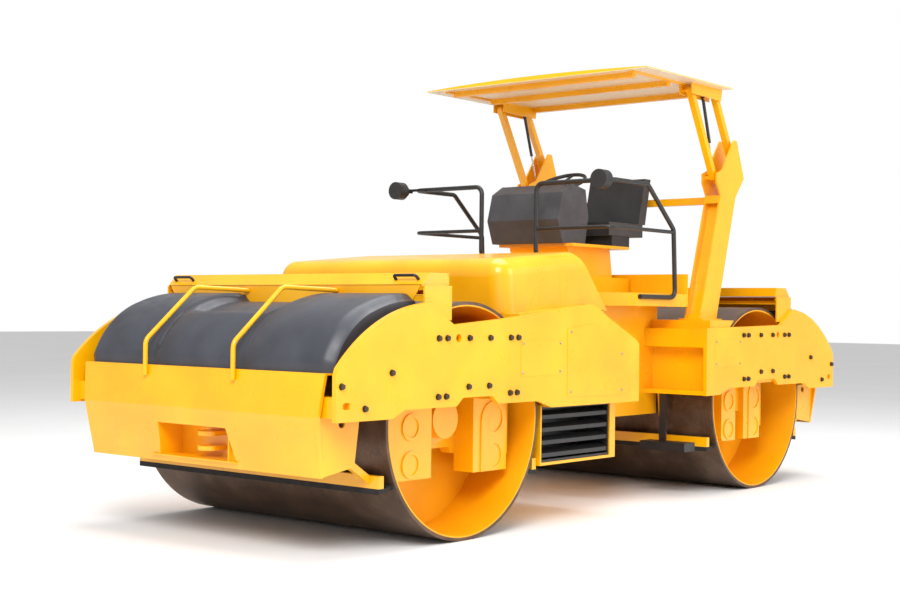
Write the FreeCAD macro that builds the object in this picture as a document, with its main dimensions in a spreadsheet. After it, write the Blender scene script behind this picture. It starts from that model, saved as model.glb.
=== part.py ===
import FreeCAD, Part
import math
import operator
import os

import Sketcher
from FreeCAD import Placement, Rotation, Vector

# Tandem roller with two steel drums, jointed in the middle.
# Millimetres. X points to the machine's left side, -Y is forward, Z is up.
# The origin lies on the ground under the steering pivot, half way between the drums.
# The front frame carries the engine, the rear frame the driver's platform and the canopy.

DIMENSIONS = {
    # drums
    "drum_dia": 1400,
    "drum_width": 2130,
    "drum_wall": 28,
    "drum_spacing": 3573,
    "drum_disc_out": 640,
    "drum_disc_wall": 25,
    "journal_rad": 70,
    "journal_len": 150,
    "running_gap": 0.3,
    # side plates
    "plate_face": 1150,
    "plate_wall": 28,
    "nose_reach": 1180,
    "nose_shoulder": 1036,
    "nose_low": 752,
    "arch_low": 797,
    "arch_high": 845,
    "plate_peak": 1393,
    "plate_notch": 1265,
    "front_plate_back": 50,
    "rear_plate_front": 860,
    "nose_curve": 1050,
    # end panels
    "panel_top": 1005,
    "panel_step": 770,
    "panel_low": 445,
    "panel_wall": 20,
    "panel_half": 1039,
    "panel_half_low": 982,
    "cheek_len": 330,
    "window_half": 296,
    "window_shift": 29,
    "window_flare": 62,
    "window_low": 485,
    "window_high": 672,
    "pocket_depth": 180,
    # water tanks
    "tank_half": 1050,
    "tank_top": 1440,
    "drum_clear": 60,
    # spray bridge and lid
    "bridge_front": 2238,
    "bridge_wall": 6,
    "lid_wall": 5,
    "lid_half": 1105,
    "lid_low": 1490,
    "lid_top": 1558,
    "lid_back": 222,
    "lid_pivot_y": 2036,
    "lid_pivot_z": 1466,
    # engine hood
    "hood_half": 1000,
    "hood_wall": 12,
    "hood_round": 110,
    "hood_front": 1360,
    "hood_front_low": 1330,
    "hood_front_top": 1668,
    "hood_side_low": 1392,
    "hood_back_low": 220,
    "hood_back_high": 560,
    "hood_top": 1742,
    "hood_hinge_y": 1345,
    "hood_hinge_z": 1300,
    "cross_top": 1240,
    # steering and swinging joint
    "pivot_low": 430,
    "pivot_high": 900,
    "pivot_ear": 36,
    "pivot_pin": 45,
    "swing_z": 665,
    "swing_rad": 120,
    "bulkhead_y": 400,
    # rear frame
    "centre_half": 620,
    "centre_front": 180,
    "centre_back": 1035,
    "centre_low": 590,
    "deck_low": 1396,
    "deck_top": 1490,
    "deck_half": 880,
    "deck_back": 1045,
    "deck_corner": 345,
    "post_foot": 1310,
    # canopy
    "link_low_y": 1380,
    "link_low_z": 2386,
    "link_top_y": 1022,
    "link_top_z": 3013,
    "link_spacing": 349,
    "link_face": 895,
    "roof_half": 1013,
    "roof_front": 225,
    "roof_back": 1454,
    "roof_wall": 28,
    # rails
    "rail_rad": 17,
}


class Size:
    """A length that keeps its value together with the sheet expression behind it."""

    def __init__(self, value, text):
        self.value = float(value)
        self.text = text

    def __add__(self, other):
        return joined(self, "+", other)

    def __radd__(self, other):
        return joined(other, "+", self)

    def __sub__(self, other):
        return joined(self, "-", other)

    def __rsub__(self, other):
        return joined(other, "-", self)

    def __mul__(self, other):
        return joined(self, "*", other)

    def __rmul__(self, other):
        return joined(other, "*", self)

    def __truediv__(self, other):
        return joined(self, "/", other)

    def __neg__(self):
        return joined(0, "-", self)


OPERATORS = {"+": operator.add, "-": operator.sub, "*": operator.mul, "/": operator.truediv}


def as_size(number):
    """A plain number as a Size."""
    return number if isinstance(number, Size) else Size(number, repr(float(number)))


def joined(left, sign, right):
    """The sum, difference, product or quotient of two sizes."""
    left, right = as_size(left), as_size(right)
    value = OPERATORS[sign](left.value, right.value)
    return Size(value, f"({left.text} {sign} {right.text})")


def root(size):
    """The square root of a size."""
    return Size(math.sqrt(size.value), f"sqrt({size.text})")


doc = FreeCAD.newDocument("tandem_roller")
sheet = doc.addObject("Spreadsheet::Sheet", "Dimensions")
for row, (alias, number) in enumerate(DIMENSIONS.items(), start=1):
    sheet.set(f"A{row}", alias)
    sheet.set(f"B{row}", str(number))
    sheet.setAlias(f"B{row}", alias)
doc.recompute()


def dim(alias):
    """The Size of a sheet cell."""
    return Size(DIMENSIONS[alias], f"Dimensions.{alias}")


def bind(piece, prop, size):
    """Give a property its value, and its expression where a sheet cell is behind it."""
    size = as_size(size)
    if not prop.startswith("Placement"):
        setattr(piece, prop, size.value)
    if "Dimensions" in size.text:
        piece.setExpression(prop, size.text)


def place(piece, x, y, z, turn=None):
    """Put a piece's own origin at a point."""
    spot = [as_size(value) for value in (x, y, z)]
    piece.Placement = Placement(Vector(*[size.value for size in spot]), turn or Rotation())
    for letter, size in zip("xyz", spot):
        bind(piece, f"Placement.Base.{letter}", size)


def box(name, x, y, z):
    """A block between three pairs of limits."""
    piece = doc.addObject("Part::Box", name)
    for prop, (low, high) in (("Length", x), ("Width", y), ("Height", z)):
        bind(piece, prop, as_size(high) - low)
    place(piece, x[0], y[0], z[0])
    return piece


TURNS = {
    "X": Rotation(Vector(0, 1, 0), 90),
    "Y": Rotation(Vector(1, 0, 0), -90),
    "Z": Rotation(),
}


def rod(name, axis, centre, radius, span):
    """A round bar along an axis; centre holds its two other coordinates in X, Y, Z order."""
    piece = doc.addObject("Part::Cylinder", name)
    bind(piece, "Radius", radius)
    bind(piece, "Height", as_size(span[1]) - span[0])
    spot = list(centre)
    spot.insert("XYZ".index(axis), span[0])
    place(piece, *spot, TURNS[axis])
    return piece


def edge_between(start, end, radius=None, side=1):
    """A line, or the shorter arc that turns to one side, with the order of its end points."""
    p, q = Vector(*start, 0), Vector(*end, 0)
    if radius is None:
        return Part.LineSegment(p, q), (1, 2)
    chord = q - p
    lift = math.sqrt(max(radius ** 2 - chord.Length ** 2 / 4, 0))
    left = Vector(-chord.y, chord.x, 0).normalize()
    middle = (p + q) / 2 + left * side * lift
    circle = Part.Circle(middle, Vector(0, 0, 1), radius)
    first, last = (p, q) if side > 0 else (q, p)
    angles = [math.atan2(point.y - middle.y, point.x - middle.x) for point in (first, last)]
    if angles[1] < angles[0]:
        angles[1] += 2 * math.pi
    return Part.ArcOfCircle(circle, *angles), (1, 2) if side > 0 else (2, 1)


def fix_point(sketch, geometry, position, u, v):
    """Hold a sketch point at its two coordinates."""
    for kind, size in (("DistanceX", as_size(u)), ("DistanceY", as_size(v))):
        index = sketch.addConstraint(Sketcher.Constraint(kind, geometry, position, size.value))
        if "Dimensions" in size.text:
            sketch.setExpression(f"Constraints[{index}]", size.text)


def fix_radius(sketch, geometry, radius):
    """Hold the radius of a sketch circle or arc."""
    size = as_size(radius)
    index = sketch.addConstraint(Sketcher.Constraint("Radius", geometry, size.value))
    if "Dimensions" in size.text:
        sketch.setExpression(f"Constraints[{index}]", size.text)


def draw_circle(sketch, u, v, radius):
    """A circle in a sketch."""
    centre = Vector(as_size(u).value, as_size(v).value, 0)
    geometry = sketch.addGeometry(Part.Circle(centre, Vector(0, 0, 1), as_size(radius).value))
    fix_point(sketch, geometry, 3, u, v)
    fix_radius(sketch, geometry, radius)


def draw_loop(sketch, corners):
    """A closed outline; a corner is (u, v), or (u, v, radius, side) where an arc leads to it."""
    values = [[as_size(item).value for item in corner] for corner in corners]
    edges = []
    for before, corner in zip([values[-1]] + values[:-1], values):
        shape, order = edge_between(before[:2], corner[:2], *corner[2:])
        edges.append((sketch.addGeometry(shape), order))
    for (first, first_order), (second, second_order) in zip(edges, edges[1:] + edges[:1]):
        ends = (first, first_order[1], second, second_order[0])
        sketch.addConstraint(Sketcher.Constraint("Coincident", *ends))
    for (geometry, order), corner in zip(edges, corners):
        fix_point(sketch, geometry, order[1], corner[0], corner[1])
        if len(corner) > 2:
            fix_radius(sketch, geometry, corner[2])


def body_with_sketch(name, plane, corners, holes=()):
    """A body with one sketch on one of its origin planes."""
    body = doc.addObject("PartDesign::Body", name)
    sketch = body.newObject("Sketcher::SketchObject", f"{name}_outline")
    support = [item for item in body.Origin.OriginFeatures if item.Role == f"{plane}_Plane"][0]
    sketch.AttachmentSupport = [(support, "")]
    sketch.MapMode = "FlatFace"
    draw_loop(sketch, corners)
    for hole in holes:
        if len(hole) == 3 and not isinstance(hole[0], (tuple, list)):
            draw_circle(sketch, *hole)
        else:
            draw_loop(sketch, hole)
    return body, sketch


def prism(name, plane, corners, span, holes=()):
    """A flat outline with its holes, padded between two limits of the third axis."""
    body, sketch = body_with_sketch(name, plane, corners, holes)
    pad = body.newObject("PartDesign::Pad", f"{name}_pad")
    pad.Profile = sketch
    bind(pad, "Length", as_size(span[1]) - span[0])
    start = {"YZ": (span[0], 0, 0), "XZ": (0, span[1], 0), "XY": (0, 0, span[0])}[plane]
    place(body, *start)
    sketch.Visibility = False
    return body


def spun(name, corners, centre):
    """An outline of (x, radius) points turned about a line along X through a point."""
    body, sketch = body_with_sketch(name, "XY", corners)
    turn = body.newObject("PartDesign::Revolution", f"{name}_turn")
    turn.Profile = sketch
    turn.ReferenceAxis = (sketch, ["H_Axis"])
    turn.Angle = 360
    place(body, *centre)
    return body


def bent_path(points, bend):
    """A wire of straight runs through points, with an arc at each corner."""
    spots = [Vector(*[as_size(value).value for value in point]) for point in points]
    edges = []
    start = spots[0]
    for before, corner, after in zip(spots, spots[1:], spots[2:]):
        back, ahead = (before - corner).normalize(), (after - corner).normalize()
        half_open = back.getAngle(ahead) / 2
        reach = bend / math.tan(half_open)
        entry, leave = corner + back * reach, corner + ahead * reach
        centre = corner + (back + ahead).normalize() * (bend / math.sin(half_open))
        middle = centre + (corner - centre).normalize() * bend
        edges.append(Part.LineSegment(start, entry).toShape())
        edges.append(Part.Arc(entry, middle, leave).toShape())
        start = leave
    edges.append(Part.LineSegment(start, spots[-1]).toShape())
    return Part.Wire(edges)


def bar(name, points, radius, bend=60):
    """A bent round bar."""
    path = bent_path(points, bend)
    first = path.Edges[0]
    along = first.tangentAt(first.FirstParameter)
    ring = Part.Circle(first.valueAt(first.FirstParameter), along, as_size(radius).value)
    piece = doc.addObject("Part::Feature", name)
    piece.Shape = path.makePipeShell([Part.Wire([ring.toShape()])], True, False)
    return piece


def fuse(name, pieces):
    """Several pieces joined."""
    whole = doc.addObject("Part::MultiFuse", name)
    whole.Shapes = pieces
    return whole


def cut(name, base, tools):
    """A piece with others cut away."""
    tool = tools[0] if len(tools) == 1 else fuse(f"{name}_tools", tools)
    rest = doc.addObject("Part::Cut", name)
    rest.Base = base
    rest.Tool = tool
    return rest


def rounded(name, base, radius, pick):
    """A piece with the picked edges rounded."""
    doc.recompute()
    piece = doc.addObject("Part::Fillet", name)
    piece.Base = base
    value = as_size(radius).value
    piece.Edges = [
        (index, value, value) for index, edge in enumerate(base.Shape.Edges, start=1) if pick(edge)
    ]
    return piece


nodes = {}


def node(label, piece):
    """Name a finished sub-part."""
    piece.Label = label
    nodes[label] = piece
    return piece


# Main places, worked out from the sheet
SCRAPER_EDGE = 614
AXLE = dim("drum_spacing") / 2
AXLE_Z = dim("drum_dia") / 2
DRUM_RAD = dim("drum_dia") / 2
DRUM_HALF = dim("drum_width") / 2
PLATE_IN = dim("plate_face") - dim("plate_wall")
CLEAR_RAD = DRUM_RAD + dim("drum_clear")
ENDS = (("front", -1), ("rear", 1))
SIDES = (("left", 1), ("right", -1))


def ordered(first, second):
    """Two limits, the lower one first."""
    first, second = as_size(first), as_size(second)
    return (first, second) if first.value < second.value else (second, first)


def along(end, near, far):
    """The Y limits of a piece that lies from near to far beyond a drum's axle, outwards."""
    return ordered(end * (AXLE + near), end * (AXLE + far))


def across(side, near, far):
    """The X limits of a piece that lies from near to far off the middle, on one side."""
    return ordered(side * as_size(near), side * as_size(far))


def outward(end, out):
    """The Y place of a point beyond a drum's axle."""
    return end * (AXLE + out)


def arc_side(end):
    """Which way an outline drawn for the rear turns after it is mirrored to the front."""
    return end


# Drums: shell, inner discs and the journals that the carriers hold
def make_drum(label, end):
    shell_in = DRUM_RAD - dim("drum_wall")
    disc_out = dim("drum_disc_out")
    disc_in = disc_out - dim("drum_disc_wall")
    tip = disc_out + dim("journal_len")
    hub = dim("journal_rad")
    outline = [
        (-DRUM_HALF, DRUM_RAD),
        (-DRUM_HALF, shell_in),
        (-disc_out, shell_in),
        (-disc_out, hub),
        (-tip, hub),
        (-tip, 0),
        (tip, 0),
        (tip, hub),
        (disc_out, hub),
        (disc_out, shell_in),
        (DRUM_HALF, shell_in),
        (DRUM_HALF, DRUM_RAD),
    ]
    solid = spun(f"{label}_solid", outline, (0, end * AXLE, AXLE_Z))
    hollow_outline = [
        (-disc_in, shell_in),
        (-disc_in, hub),
        (disc_in, hub),
        (disc_in, shell_in),
    ]
    hollow = spun(f"{label}_hollow", hollow_outline, (0, end * AXLE, AXLE_Z))
    node(label, cut(label, solid, [hollow]))


# Side plates: one nose shape for both ends, different inner ends
def nose_outline(end, inner):
    """The outline of a side plate, from the nose's low corner round to the inner end and back."""
    side = arc_side(end)
    low = dim("nose_low")
    arch = dim("arch_low")
    high = dim("arch_high")
    peak = dim("plate_peak")
    notch = dim("plate_notch")
    nose = dim("nose_reach")
    bottom = [
        (nose, low),
        (738, low),
        (640, arch),
        (195, arch),
        (135, high),
        (-135, high),
        (-195, arch),
        (-590, arch),
        (-732, low),
    ]
    top = [
        (226, notch),
        (400, peak - 28),
    ]
    corners = [(outward(end, out), height) for out, height in bottom + inner + top]
    corners.append((outward(end, 500), peak - 10, as_size(100), as_size(-side)))
    corners.append((outward(end, nose - 12), dim("nose_shoulder"), dim("nose_curve"), as_size(-side)))
    corners.append((outward(end, nose), dim("nose_shoulder") - 36))
    return corners


def make_side_plate(label, end, side):
    if end < 0:
        back = dim("front_plate_back")
        inner_out = back - AXLE
        inner = [
            (inner_out, dim("nose_low") - 2),
            (inner_out, as_size(1135)),
            (inner_out + 50, as_size(1172)),
            (as_size(-1347), as_size(1319)),
            (as_size(-1235), as_size(1380)),
            (as_size(-1157), as_size(1397)),
            (as_size(-235), as_size(1301)),
        ]
    else:
        inner_out = dim("rear_plate_front") - AXLE
        inner = [
            (inner_out, dim("nose_low") - 2),
            (inner_out, dim("plate_notch") - 25),
        ]
    slot_out = dim("nose_reach") - 85
    slot_z = dim("nose_low") + 84
    slot = [
        (outward(end, slot_out - 20), slot_z - 18),
        (outward(end, slot_out + 20), slot_z - 18),
        (outward(end, slot_out + 20), slot_z + 18, as_size(18.5), as_size(end)),
        (outward(end, slot_out - 20), slot_z + 18),
        (outward(end, slot_out - 20), slot_z - 18, as_size(18.5), as_size(end)),
    ]
    hole = (outward(end, 182), as_size(1188), as_size(24))
    span = across(side, PLATE_IN, dim("plate_face"))
    node(label, prism(label, "YZ", nose_outline(end, inner), span, [slot[:4], hole]))


# Drum carriers: two legs that hang inside the drum from a side plate and hold its bearing.
# Each leg: its near and far edge beyond the axle, the near and far edge of the arm that joins
# it to the side plate, and how far its thin flange reaches past the far edge.
DRIVE_LEGS = ((180, 545, 225, 500, 0), (-207, -527, -207, -500, 76))
SHAKER_LEGS = ((-126, -343, -160, -500, 0), (4, 252, -90, 140, 121))
LEG_LOW = as_size(372)
LEG_TOP = as_size(1235)


def carrier_leg(name, end, side, leg):
    """One leg with its arm, its flange and the round bosses on its outer face."""
    near, far, arm_near, arm_far, flange = leg
    way = 1 if far > near else -1
    face = 950
    corners = [
        (outward(end, near), LEG_LOW),
        (outward(end, far - way * 20), LEG_LOW),
        (outward(end, far), LEG_LOW + 30),
        (outward(end, far), as_size(990)),
        (outward(end, near + way * 170), LEG_TOP),
        (outward(end, near), LEG_TOP),
    ]
    arm_corners = [
        (outward(end, arm_near), as_size(820)),
        (outward(end, arm_far), as_size(820)),
        (outward(end, arm_far), as_size(1040)),
        (outward(end, arm_near + (arm_far - arm_near) * 0.5), LEG_TOP),
        (outward(end, arm_near), LEG_TOP),
    ]
    pieces = [
        prism(f"{name}_leg", "YZ", corners, across(side, 800, face)),
        prism(f"{name}_arm", "YZ", arm_corners, across(side, face - 1, PLATE_IN)),
    ]
    if flange:
        pieces.append(
            box(
                f"{name}_flange", across(side, 880, 905), along_any(end, far, far + way * flange),
                (456, 960)
            )
        )
        pieces += slot_rim(f"{name}_rim", end, side, near + way * 70, far - way * 5, face)
    else:
        middle = (near + far) / 2
        for index, height in enumerate((460, 675)):
            ring = rod(
                f"{name}_ring_{index}", "X", (outward(end, middle), height), 78,
                across(side, face - 1, face + 10)
            )
            dish = rod(
                f"{name}_dish_{index}", "X", (outward(end, middle), height), 60,
                across(side, face + 2, face + 11)
            )
            pieces.append(cut(f"{name}_boss_{index}", ring, [dish]))
    return pieces


def along_any(end, first, last):
    """The Y limits between two places beyond a drum's axle, given in either order."""
    return ordered(outward(end, first), outward(end, last))


def slot_rim(name, end, side, near, far, face):
    """A raised upright plate with a round top and two dished rings."""
    middle = (near + far) / 2
    half = abs(far - near) / 2
    top = as_size(798 - half)
    corners = [
        (outward(end, middle) - half, LEG_LOW),
        (outward(end, middle) + half, LEG_LOW),
        (outward(end, middle) + half, top),
        (outward(end, middle) - half, top, as_size(half + 0.01), as_size(1)),
    ]
    rim = prism(f"{name}_plate", "YZ", corners, across(side, face - 1, face + 9))
    dishes = [
        rod(
            f"{name}_dish_{index}", "X", (outward(end, middle), height), radius,
            across(side, face + 1, face + 10)
        )
        for index, (height, radius) in enumerate(((465, 72), (690, 82)))
    ]
    return [cut(name, rim, dishes)]


def carrier(label, end, side):
    legs = DRIVE_LEGS if end * side < 0 else SHAKER_LEGS
    pieces = []
    for index, leg in enumerate(legs):
        pieces += carrier_leg(f"{label}_{index}", end, side, leg)
    plate_in = dim("drum_disc_out") + 85
    plate_corners = [
        (outward(end, -545), as_size(480)),
        (outward(end, -181), as_size(480)),
        (outward(end, -150), as_size(520)),
        (outward(end, 150), as_size(520)),
        (outward(end, 181), as_size(480)),
        (outward(end, 545), as_size(480)),
        (outward(end, 545), as_size(1000)),
        (outward(end, 181), LEG_TOP - 60),
        (outward(end, -181), LEG_TOP - 60),
        (outward(end, -545), as_size(1000)),
    ]
    bearing = (end * AXLE, AXLE_Z)
    bore_rad = dim("journal_rad") + dim("running_gap")
    bearing_plate = prism(f"{label}_plate", "YZ", plate_corners, across(side, plate_in, 801))
    motor = rod(
        f"{label}_motor", "X", bearing, 115, across(side, dim("drum_disc_out") + 151, 905)
    )
    motor_ring = rod(f"{label}_ring", "X", bearing, 150, across(side, plate_in + 39, 822))
    port_block = box(
        f"{label}_ports", across(side, 800, 880), along(end, -90, 60), (770, 860)
    )
    socket = rod(
        f"{label}_socket", "X", bearing, bore_rad,
        across(side, plate_in - 1, dim("drum_disc_out") + dim("journal_len") + 0.4)
    )
    whole = fuse(f"{label}_whole", pieces + [bearing_plate, motor, motor_ring, port_block])
    return cut(label, whole, [socket])


# End panels: sloped front, low cheeks, tow pocket
def make_end_panel(label, end):
    wall = dim("panel_wall")
    face = as_size(1150)
    profile = [
        (outward(end, face), dim("panel_top")),
        (outward(end, face + 24), dim("panel_step")),
        (outward(end, face - 32), dim("panel_low")),
        (outward(end, face - 32 - wall), dim("panel_low")),
        (outward(end, face + 24 - wall), dim("panel_step")),
        (outward(end, face - wall), dim("panel_top")),
    ]
    half = dim("panel_half")
    sheet_piece = prism(f"{label}_face", "YZ", profile, (-half, half))
    trims = []
    for name, side in SIDES:
        corners = [
            (side * dim("panel_half"), dim("panel_top") + 1),
            (side * (dim("panel_half") - 29), dim("panel_step")),
            (side * dim("panel_half_low"), dim("panel_low") - 1),
            (side * (half + 50), dim("panel_low") - 1),
            (side * (half + 50), dim("panel_top") + 1),
        ]
        trims.append(prism(f"{label}_trim_{name}", "XZ", corners, along(end, 1000, 1200)))
    flip = -end
    shift = flip * dim("window_shift")
    half_window = dim("window_half")
    low = dim("window_low")
    high = dim("window_high")
    flare = half_window + dim("window_flare")
    window_outline = [
        (-shift - flip * half_window, low),
        (-shift + flip * flare, low),
        (-shift + flip * half_window, high),
        (-shift - flip * half_window, high),
    ]
    window = prism(f"{label}_window", "XZ", window_outline, along(end, 1000, 1200))
    face_piece = cut(f"{label}_front", sheet_piece, trims + [window])
    pieces = [face_piece]
    for name, side in SIDES:
        cheek_corners = [
            (outward(end, face - 30), dim("panel_low") + 2),
            (outward(end, face + 10), dim("panel_step") - 2),
            (outward(end, face - dim("cheek_len")), dim("panel_step") - 2),
            (outward(end, face - dim("cheek_len") + 40), dim("panel_low") + 42),
        ]
        low_half = dim("panel_half_low")
        span = across(side, low_half - 12, low_half)
        hole = (outward(end, face - 190), dim("panel_step") - 42, as_size(24))
        pieces.append(prism(f"{label}_cheek_{name}", "YZ", cheek_corners, span, [hole]))
    inside = (-shift - half_window, -shift + half_window)
    pocket_out = box(
        f"{label}_pocket_out", (inside[0] - 8, inside[1] + 8),
        along(end, face - 10 - dim("pocket_depth"), face - 15), (low - 8, high + 8)
    )
    lining = box(
        f"{label}_lining", (-shift - flare - 8, -shift + flare + 8),
        along(end, face - 52, face - 40), (low - 8, high + 8)
    )
    lining_edges = [
        box(
            f"{label}_lining_edge_{index}", (-shift - flare - 8, -shift + flare + 8),
            along(end, face - 52, face - 10), (height, height + 8)
        )
        for index, height in enumerate((low - 8, high))
    ]
    pocket_in = box(
        f"{label}_pocket_in", inside, along(end, face - 2 - dim("pocket_depth"), face + 60),
        (low, high)
    )
    pocket_whole = fuse(f"{label}_pocket_whole", [pocket_out, lining] + lining_edges)
    pieces.append(cut(f"{label}_pocket", pocket_whole, [pocket_in]))
    beam = box(
        f"{label}_beam", (-PLATE_IN, PLATE_IN), along(end, face - 110, face - 19),
        (dim("panel_step") - 2, dim("panel_step") + 110)
    )
    pieces.append(beam)
    shelf = box(
        f"{label}_shelf", (-half, half), along(end, face - 300, face - 5),
        (dim("panel_top") - 10, dim("panel_top"))
    )
    pieces.append(shelf)
    for name, side in SIDES:
        arm_corners = [
            (outward(end, SCRAPER_EDGE + 110), as_size(385)),
            (outward(end, SCRAPER_EDGE + 110), as_size(428)),
            (outward(end, 905), as_size(545)),
            (outward(end, 905), as_size(495)),
        ]
        span = across(side, 940, 975)
        pieces.append(prism(f"{label}_arm_{name}", "YZ", arm_corners, span))
    pieces += tow_lugs(f"{label}_lug", end)
    node(label, fuse(label, pieces))


# Tow lugs in the pocket
def tow_lugs(label, end):
    back = as_size(1150) - 2 - dim("pocket_depth")
    lugs = []
    for index, height in enumerate((525, 610)):
        corners = [
            (-70, outward(end, back)),
            (70, outward(end, back)),
            (70, outward(end, back + 90)),
            (-70, outward(end, back + 90), as_size(74), as_size(end)),
        ]
        lugs.append(
            prism(
                f"{label}_{index}", "XY", corners, (height, height + 25),
                [(as_size(0), outward(end, back + 85), as_size(26))]
            )
        )
    return lugs


# Water tanks: moulded body that fills the nose over the drum
def tank_profile(end, inset):
    """The tank's side outline; inset lowers the outer skin."""
    side = arc_side(end)
    low = dim("panel_top") + dim("running_gap")
    radius = CLEAR_RAD
    back_out = as_size(455)
    rise = low - AXLE_Z
    front_low = root(radius * radius - rise * rise)
    top_rise = root(radius * radius - back_out * back_out)
    return [
        (outward(end, 1128 - inset), low),
        (outward(end, 1124 - inset), low + 62),
        (outward(end, 800), dim("tank_top") - 62 - inset, as_size(520), as_size(side)),
        (outward(end, back_out), dim("tank_top") - inset, as_size(900), as_size(side)),
        (outward(end, back_out), AXLE_Z + top_rise),
        (outward(end, front_low), low, radius, as_size(-side)),
    ]


def make_tank(label, end):
    half = dim("tank_half")
    middle = 400
    whole = prism(f"{label}_core", "YZ", tank_profile(end, 42), (-half, half))
    left = prism(f"{label}_left", "YZ", tank_profile(end, 0), (middle, half))
    right = prism(f"{label}_right", "YZ", tank_profile(end, 0), (-half, -middle))
    node(label, fuse(label, [whole, left, right] + tank_cap(f"{label}_cap", end)))


def tank_cap(label, end):
    base = dim("tank_top") - 60
    spot = (0, outward(end, 560))
    neck = rod(f"{label}_neck", "Z", spot, 62, (base, base + 90))
    cap = rod(f"{label}_lid", "Z", spot, 74, (base + 90, base + 130))
    crown = rod(f"{label}_crown", "Z", spot, 48, (base + 130, base + 158))
    return [neck, cap, crown]


# Spray bridge: cross plate over the drum, with cheeks that carry the lid
def make_bridge(label, end):
    wall = dim("bridge_wall")
    front = dim("bridge_front") - AXLE
    top_half = dim("lid_half") - 16
    low_half = dim("lid_half") - 91
    plate_outline = [
        (-top_half, dim("lid_low") - 2),
        (-low_half, as_size(1378)),
        (low_half, as_size(1378)),
        (top_half, dim("lid_low") - 2),
    ]
    plate = prism(f"{label}_plate", "XZ", plate_outline, along(end, front - wall, front))
    shelf = box(f"{label}_shelf", (-PLATE_IN, PLATE_IN), along(end, 250, front), (1428, 1428 + wall))
    pieces = [plate, shelf]
    for name, side in SIDES:
        cheek = box(
            f"{label}_cheek_{name}", across(side, PLATE_IN - 12, PLATE_IN),
            along(end, 215, front), (1290, 1486)
        )
        pieces.append(cheek)
    pipe_end = dim("lid_half") - 20
    spray = rod(
        f"{label}_pipe", "X", (outward(end, 330), 1428 + wall + 12), 14, (-pipe_end, pipe_end)
    )
    pieces.append(spray)
    for name, side in SIDES:
        spot = (-dim("lid_pivot_y") if end < 0 else dim("lid_pivot_y"), dim("lid_pivot_z"))
        span = across(side, dim("lid_half") - 20, PLATE_IN - 6)
        pieces.append(rod(f"{label}_pivot_{name}", "X", spot, 8, span))
    node(label, fuse(label, pieces))


# Spray lid: bent cover with end cheeks, hinged behind on two bolts
def lid_corners(end, inset):
    front = dim("bridge_front") - AXLE
    back = dim("lid_back")
    return [
        (outward(end, front + 5 - inset), dim("lid_low") - inset),
        (outward(end, front - 57 - inset / 2), dim("lid_top") - inset),
        (outward(end, back + inset), dim("lid_top") - inset),
        (outward(end, back + inset), dim("lid_low") - inset),
    ]


def make_lid(label, end):
    half = dim("lid_half")
    wall = dim("lid_wall")
    front = dim("bridge_front") - AXLE
    back = dim("lid_back")
    low = dim("lid_low")
    pivot_out = dim("lid_pivot_y") - AXLE
    pivot_z = dim("lid_pivot_z")
    outer = prism(f"{label}_outer", "YZ", lid_corners(end, as_size(0)), (-half, half))
    inner = prism(f"{label}_inner", "YZ", lid_corners(end, wall), (-half - 1, half + 1))
    pieces = [cut(f"{label}_sheet", outer, [inner])]
    for name, side in SIDES:
        cheek = [
            (outward(end, front + 9), low - 7),
            (outward(end, front - 57), dim("lid_top")),
            (outward(end, back + 14), dim("lid_top")),
            (outward(end, back), low + 18),
            (outward(end, pivot_out - 14), pivot_z - 10),
            (outward(end, pivot_out + 10), pivot_z - 18),
            (outward(end, front - 38), pivot_z - 17),
        ]
        span = across(side, half - wall, half)
        hole = (outward(end, pivot_out), pivot_z, 8 + dim("running_gap"))
        pieces.append(prism(f"{label}_cheek_{name}", "YZ", cheek, span, [hole]))
    node(label, fuse(label, pieces))


def make_lid_handles(label, end):
    handles = []
    for name, side in SIDES:
        x = 970
        points = [
            (side * x - 85, outward(end, 430.2), 1519.2),
            (side * x - 85, outward(end, 455.2), 1542),
            (side * x + 85, outward(end, 455.2), 1542),
            (side * x + 85, outward(end, 430.2), 1519.2),
        ]
        handles.append(bar(f"{label}_{name}", points, 9, 18))
    node(label, fuse(label, handles))


# Guard tubes over the front tank
def make_guards(label, end):
    tubes = []
    for index, x in enumerate((-430, 340)):
        points = [
            (x, outward(end, 1170.4), 945),
            (x, outward(end, 1170.4), 1150),
            (x, outward(end, 800), 1470),
            (x + 100, outward(end, 455.8), 1456),
        ]
        tubes.append(bar(f"{label}_{index}", points, 14, 70))
    node(label, fuse(label, tubes))


# Scrapers: bars and blades before and behind each drum
def make_scrapers(end_name, end):
    bars = []
    blades = []
    for index, way in enumerate((1, -1)):
        edge = SCRAPER_EDGE * way
        y_bar = along(end, edge + way * 70, edge + way * 110) if way > 0 else along(
            end, edge + way * 110, edge + way * 70)
        bars.append(box(f"{end_name}_bar_{index}", (-1040, 1040), y_bar, (360, 430)))
        corners = [
            (outward(end, edge + way * 8), as_size(375)),
            (outward(end, edge - way * 5), as_size(350)),
            (outward(end, edge + way * 110), as_size(328)),
            (outward(end, edge + way * 110), as_size(359.7)),
            (outward(end, edge + way * 60), as_size(359.7)),
        ]
        blades.append(prism(f"{end_name}_blade_{index}", "YZ", corners, (-1040, 1040)))
    node(f"{end_name}_scraper_bars", fuse(f"{end_name}_scraper_bars", bars))
    node(f"{end_name}_scraper_blades", fuse(f"{end_name}_scraper_blades", blades))


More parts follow.
